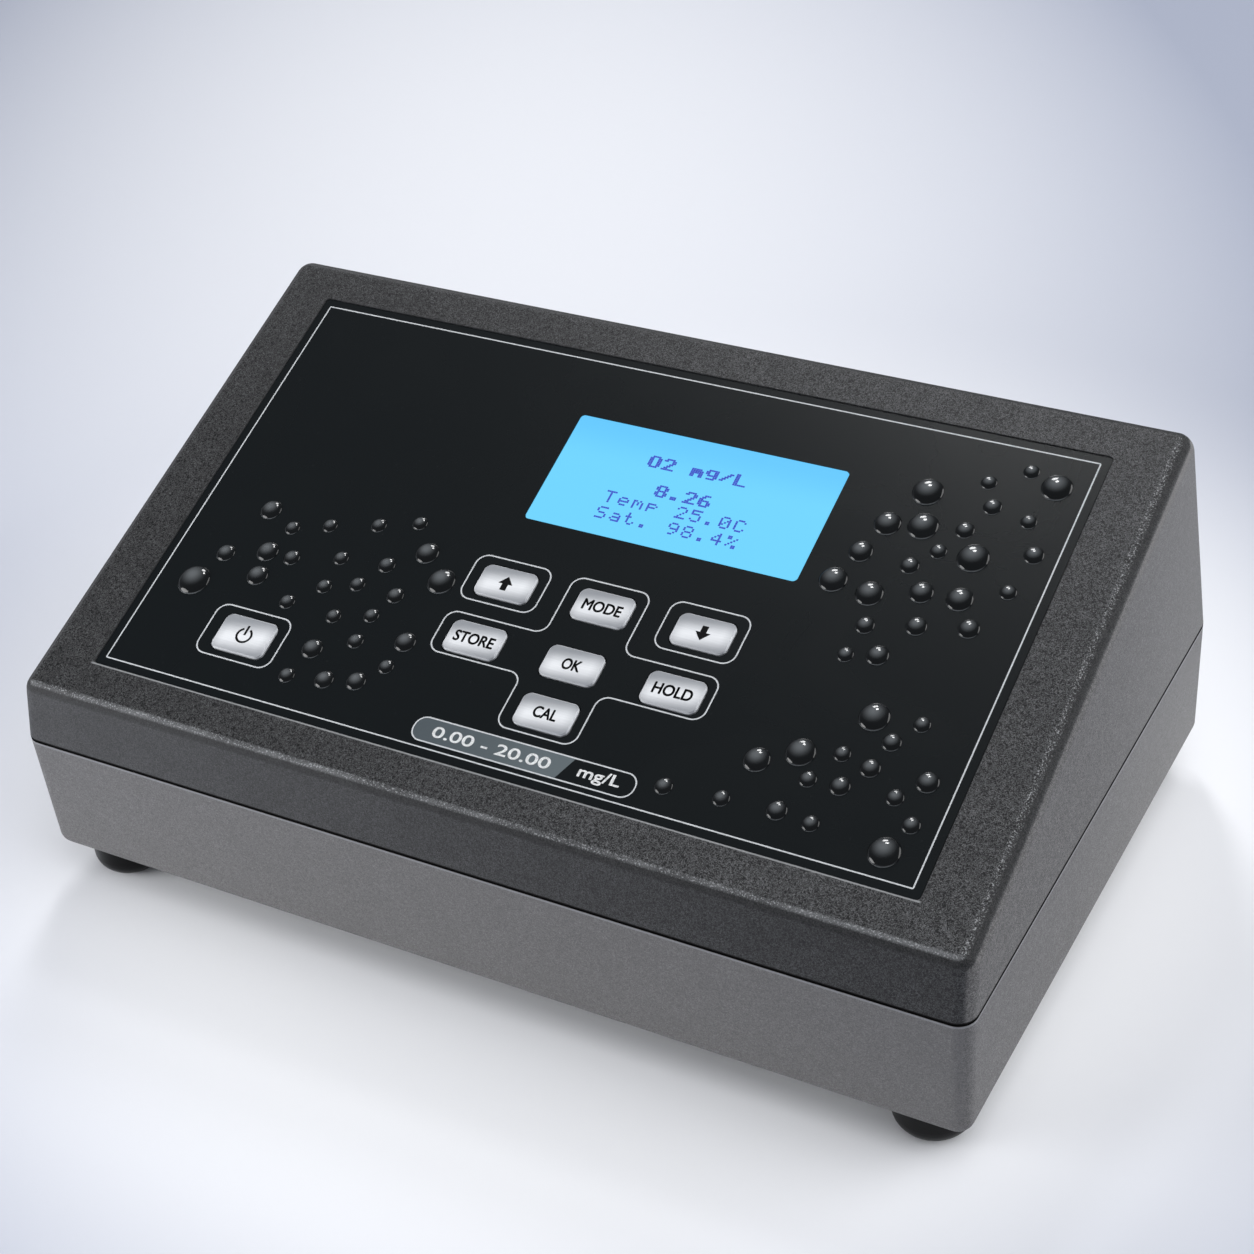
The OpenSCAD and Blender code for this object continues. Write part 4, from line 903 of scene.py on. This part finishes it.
for name, (words, width) in WORDS.items():
    legend(name + "_legend", words, WORD_HEIGHT, width, on_key(name), black_ink, name + "_key",
           WORD_WEIGHT)
for name, sign in (("up", 1), ("down", -1)):
    arrow = [(x * sign, y * sign) for x, y in ARROW]
    flat_shape(name + "_arrow", [arrow], 0, INK, black_ink, name + "_key", on_key(name))
flat_shape("power_symbol", power_symbol(), 0, INK, black_ink, "power_key", on_key("power"))

# Display: small square segments, set out from a five by seven dot alphabet (two hex digits a row)
DOTS = {
    "0": "0E11131519110E", "2": "0E11010204081F", "4": "02060A121F0202", "5": "1F101E0101110E",
    "6": "0608101E11110E", "8": "0E11110E11110E", "9": "0E11110F01020C", ".": "00000000000C0C",
    "/": "00010204081000", "%": "18190204081303", "L": "1010101010101F", "C": "0E11101010110E",
    "O": "0E11111111110E", "S": "0F10100E01011E", "T": "1F040404040404", "a": "00000E010F110F",
    "e": "00000E111F100E", "g": "000F11110F010E", "m": "00001A15151111", "p": "00001E111E1010",
    "t": "08081C08080906", " ": "00000000000000",
}
ROWS, COLUMNS, LETTER_STEP = 7, 5, 7
DOT_PITCH = (0.55, 0.5)
DOT_SIZE = (0.5, 0.45)
# Words, how far down the window they stand, and whether they are bold
LINES = [("O2 mg/L", 0.277, True), ("8.26", 0.517, True), ("Temp 25.0C", 0.657, False),
         ("Sat. 98.4%", 0.804, False)]


def readout_dots():
    """The centres of the dark segments."""
    x0, y0, width, height = WINDOW
    spots = set()
    for words, down, bold in LINES:
        first = -(len(words) * LETTER_STEP - 1) // 2
        for place, letter in enumerate(words):
            for row in range(ROWS):
                bits = int(DOTS[letter][2 * row:2 * row + 2], 16)
                for column in range(COLUMNS):
                    if bits >> (COLUMNS - 1 - column) & 1:
                        spot = first + place * LETTER_STEP + column
                        spots.add((spot, row, down))
                        if bold:
                            spots.add((spot + 1, row, down))
    return [(x0 + (c + 0.5) * DOT_PITCH[0], y0 + height * (0.5 - down) + (ROWS // 2 - row) * DOT_PITCH[1])
            for c, row, down in sorted(spots)]


def segments_tree():
    """A small square segment on every point."""
    inputs = [("Geometry", GEOMETRY, None), ("Segment Width", FLOAT, 0.0005), ("Segment Height", FLOAT, 0.0004),
              ("Thickness", FLOAT, INK * MM), ("Material", MATERIAL, None)]
    tree, given, result = new_tree("display segments", GEOMETRY_TREE, inputs, [("Geometry", GEOMETRY)])
    points = add(tree, "GeometryNodeMeshToPoints", {"Mesh": given["Geometry"]})
    sides = {0: given["Segment Width"], 1: given["Segment Height"], 2: given["Thickness"]}
    tile = add(tree, "GeometryNodeMeshCube", {"Size": add(tree, "ShaderNodeCombineXYZ", sides)})
    laid = add(tree, "GeometryNodeInstanceOnPoints", {"Points": points, "Instance": tile})
    coat_and_end(tree, add(tree, "GeometryNodeRealizeInstances", {"Geometry": laid}), given, result)
    return tree


dots = new_mesh("readout points", laid_out(readout_dots(), FILM_TOP + THIN_INK * MM))
readout = grown("readout_segments", dots, segments_tree(), Segment_Width=DOT_SIZE[0] * MM,
                Segment_Height=DOT_SIZE[1] * MM, Material=dot_ink)
readout.transform(panel_place)
settle(bare_object("readout_segments", readout), "housing")

# Clear raised beads in three loose groups on the film. A bead's own lengths are shares of its radius
BEAD_FLATNESS = 0.38
BEAD_SINK = -0.04
BEAD_FOOT = -0.16
BEADS_AT_MOST = 60000.0
LARGE_BEADS_RARE = 3.2
BEAD_SEED = 5
BEAD_FIELDS = [
    [(58, 4), (62, -9), (74, -9), (93, 5), (101, 20), (101, 52), (80, 52), (66, 38), (58, 22)],
    [(42, -52), (101, -52), (101, -22), (90, -14), (78, -24), (60, -36), (44, -44)],
    [(-97, -32), (-97, -20), (-87, -6), (-60, -4), (-44, 3), (-36, 0), (-33, -12), (-33, -36), (-38, -52), (-58, -52),
     (-59, -32)],
]


def beads_tree():
    """Rounded beads of mixed sizes, spread over faces at no less than a spacing."""
    inputs = [("Geometry", GEOMETRY, None), ("Spacing", FLOAT, 0.0072), ("Smallest", FLOAT, 0.0020),
              ("Largest", FLOAT, 0.0043), ("Seed", "NodeSocketInt", BEAD_SEED), ("Material", MATERIAL, None)]
    tree, given, result = new_tree("film beads", GEOMETRY_TREE, inputs, [("Geometry", GEOMETRY)])
    spread = add(tree, "GeometryNodeDistributePointsOnFaces",
                 {"Mesh": given["Geometry"], "Distance Min": given["Spacing"], "Density Max": BEADS_AT_MOST,
                  "Seed": given["Seed"]}, distribute_method="POISSON")
    ball = add(tree, "GeometryNodeMeshUVSphere", {"Segments": 32, "Rings": 22, "Radius": 1.0})
    feeds = {"Geometry": ball, "Translation": (0, 0, BEAD_SINK), "Scale": (1, 1, BEAD_FLATNESS)}
    lowered = add(tree, "GeometryNodeTransform", feeds)
    position = add(tree, "GeometryNodeInputPosition")
    below = add(tree, "FunctionNodeCompare", {0: split(tree, position)[2], 1: BEAD_FOOT}, operation="LESS_THAN")
    dome = add(tree, "GeometryNodeDeleteGeometry", {"Geometry": lowered, "Selection": below})
    feeds = {"Geometry": dome, "Name": "bead_place", "Value": position}
    cap = add(tree, "GeometryNodeStoreNamedAttribute", feeds, data_type="FLOAT_VECTOR")
    chance = add(tree, "FunctionNodeRandomValue", {"Seed": given["Seed"]}, data_type="FLOAT").outputs[1]
    often_small = calc(tree, "POWER", chance, LARGE_BEADS_RARE)
    growth = calc(tree, "SUBTRACT", given["Largest"], given["Smallest"])
    size = calc(tree, "ADD", given["Smallest"], times(tree, often_small, growth))
    laid = add(tree, "GeometryNodeInstanceOnPoints", {"Points": spread, "Instance": cap, "Scale": size})
    real = add(tree, "GeometryNodeRealizeInstances", {"Geometry": laid})
    coat_and_end(tree, add(tree, "GeometryNodeSetShadeSmooth", {0: real, "Shade Smooth": True}), given, result)
    return tree


corners, faces = [], []
for field in BEAD_FIELDS:
    faces.append([len(corners) + i for i in range(len(field))])
    corners += laid_out(field, FILM_TOP)
fields = new_mesh("bead fields", corners, faces=faces)
beads = grown("film_beads", fields, beads_tree(), Seed=BEAD_SEED, Material=bead)
beads.transform(panel_place)
settle(bare_object("film_beads", beads), "housing")

# Rear socket legends, printed on the sunk field and read from behind
REAR_WORDS = {"probe": ("PROBE", 8.4, -45), "temperature": ("TEMP", 7.0, -15), "data": ("DATA", 7.0, 15),
              "power": ("DC IN", 8.0, 45)}
REAR_WORD_HEIGHT = 1.7
REAR_WORD_RISE = 9.1 * MM
facing_back = Matrix.Rotation(math.pi, 4, "Z") @ Matrix.Rotation(math.pi / 2, 4, "X")
for name, (words, width, x) in REAR_WORDS.items():
    place = Matrix.Translation((x * MM, REAR_FIELD_Y, SOCKET_HEIGHT + REAR_WORD_RISE)) @ facing_back
    legend("rear_" + name + "_legend", words, REAR_WORD_HEIGHT, width, place, white_ink, "housing")

# Stage: pale floor, soft lamps and the camera. The floor's painted shade deepens along an ellipse round one far place,
# and gives way to a painted pool of light under the meter
FLOOR_TURN = math.radians(35.2)
FLOOR_CENTRE = (-0.2137, 0.2942, 0)
FLOOR_SHADE_DEEPENS = (10.248, 2.774)
FLOOR_SHADE_START = 0.287
LIGHT_POOL_CENTRE = (0.0075, 0.0027, 0)
LIGHT_POOL_EDGE = (0.1093, 0.2538)
SHADED_CENTRE = (-0.15, 0.15, 0)
SHADED_EDGE = (0.43, 0.66)
FLOOR_REACH = 4.0
HORIZON_EDGE = (0.02, 0.25)
HORIZON_GLOW = 0.76
AIR_GLOW = 0.24


def seen_directly(tree):
    """Tells the rays that show the background as it is from those that light the meter."""
    path = add(tree, "ShaderNodeLightPath").outputs
    mirrored = calc(tree, "MAXIMUM", path["Is Glossy Ray"], path["Is Transmission Ray"])
    return calc(tree, "MAXIMUM", path["Is Camera Ray"], mirrored)


def floor_finish():
    """Pale blue-white floor: a painted pool of light round the meter, painted shade greyer further out, and evenly
    pale far away.
    """
    material, tree, sockets, place = blank("pale studio floor")
    feeds = {"Vector": place, "Rotation": (0, 0, FLOOR_TURN), "Location": FLOOR_CENTRE}
    turned = add(tree, "ShaderNodeMapping", feeds, vector_type="TEXTURE")
    spot = split(tree, turned)
    across, along = (times(tree, side, side, rate) for side, rate in zip(spot, FLOOR_SHADE_DEEPENS))
    depth = calc(tree, "ADD", calc(tree, "ADD", across, along), FLOOR_SHADE_START)
    outside_light_pool = fade(tree, vector_calc(tree, "DISTANCE", place, LIGHT_POOL_CENTRE), *LIGHT_POOL_EDGE)
    share = times(tree, calc(tree, "MINIMUM", depth, 1.0), outside_light_pool)
    beyond = fade(tree, vector_calc(tree, "DISTANCE", place, SHADED_CENTRE), *SHADED_EDGE)
    far = times(tree, beyond, seen_directly(tree))
    colour = blend(tree, far, blend(tree, share, "#f8f9fc", "#a3a9ba"), "#000000")
    feed(tree, sockets, Base_Color=colour, Roughness=0.85, Specular_IOR_Level=0.1,
         Emission_Color="#dfe3ed", Emission_Strength=far)
    return material


floor_corners = rectangle(-FLOOR_REACH, -FLOOR_REACH, FLOOR_REACH, FLOOR_REACH)
floor_mesh = new_mesh("floor", [(x, y, 0) for x, y in floor_corners], faces=[(0, 1, 2, 3)])
floor = bare_object("floor", floor_mesh)
floor_mesh.materials.append(floor_finish())

SUBJECT = Vector((0, -0.01, 0.05))


def lamp(name, toward, distance, size, watts):
    """A round soft lamp that looks at the meter from one direction and distance."""
    light = bpy.data.lights.new(name, "AREA")
    light.shape = "ELLIPSE"
    light.size, light.size_y = size
    light.energy = watts
    stand = bare_object(name, light)
    away = Vector(toward).normalized()
    stand.location = SUBJECT + away * distance
    stand.rotation_euler = away.to_track_quat("Z", "Y").to_euler()
    return stand


lamp("back_lamp", (-0.36, 0.64, 0.68), 1.5, (0.34, 0.34), 4.5)
lamp("right_lamp", (0.9, 0.6, 0.35), 1.6, (1.6, 1.2), 16)
lamp("left_lamp", (-0.75, -0.7, 0.25), 0.6, (0.4, 0.35), 2.2)
lamp("sheen_lamp", (-0.24, 0.47, 0.85), 1.5, (0.2, 0.2), 2.5)
# The broad lamp overhead only lights: gloss shows the small lamps
lamp("top_lamp", (0.45, -0.1, 0.88), 1.5, (1.6, 1.6), 15).visible_glossy = False

world = bpy.data.worlds.new("studio air")
bpy.context.scene.world = world
world.use_nodes = True
air = world.node_tree
air.nodes.clear()
height = split(air, add(air, "ShaderNodeTexCoord").outputs["Generated"])[2]
horizon = times(air, fade(air, height, *HORIZON_EDGE, HORIZON_GLOW, 0.0), seen_directly(air))
glow = add(air, "ShaderNodeBackground", {"Color": "#dfe4ee", "Strength": calc(air, "ADD", horizon, AIR_GLOW)})
add(air, "ShaderNodeOutputWorld", {"Surface": glow})

# Camera at the photograph's angle, worked out for a square frame of 1254 pixels
FRAME_PIXELS = 1254
FOCAL_PIXELS = 2577.1
SENSOR = 36
NEAREST = 0.01
AZIMUTH, ELEVATION, ROLL = (math.radians(a) for a in (32.253, 36.630, -6.404))
CAMERA_PLACE = Vector((0.27109, -0.42695, 0.43185))
camera_data = bpy.data.cameras.new("camera")
camera_data.sensor_width = SENSOR
camera_data.lens = FOCAL_PIXELS / FRAME_PIXELS * SENSOR
camera_data.clip_start = NEAREST
camera = bare_object("camera", camera_data)
backward = Vector((math.sin(AZIMUTH) * math.cos(ELEVATION), -math.cos(AZIMUTH) * math.cos(ELEVATION),
                   math.sin(ELEVATION)))
rightward = Vector((0, 0, 1)).cross(backward).normalized()
upward = backward.cross(rightward)
turned_right = rightward * math.cos(ROLL) + upward * math.sin(ROLL)
turned_up = upward * math.cos(ROLL) - rightward * math.sin(ROLL)
axes = Matrix((turned_right, turned_up, backward)).transposed().to_4x4()
camera.matrix_world = Matrix.Translation(CAMERA_PLACE) @ axes
bpy.context.scene.camera = camera
bpy.context.scene.view_settings.view_transform = "Standard"
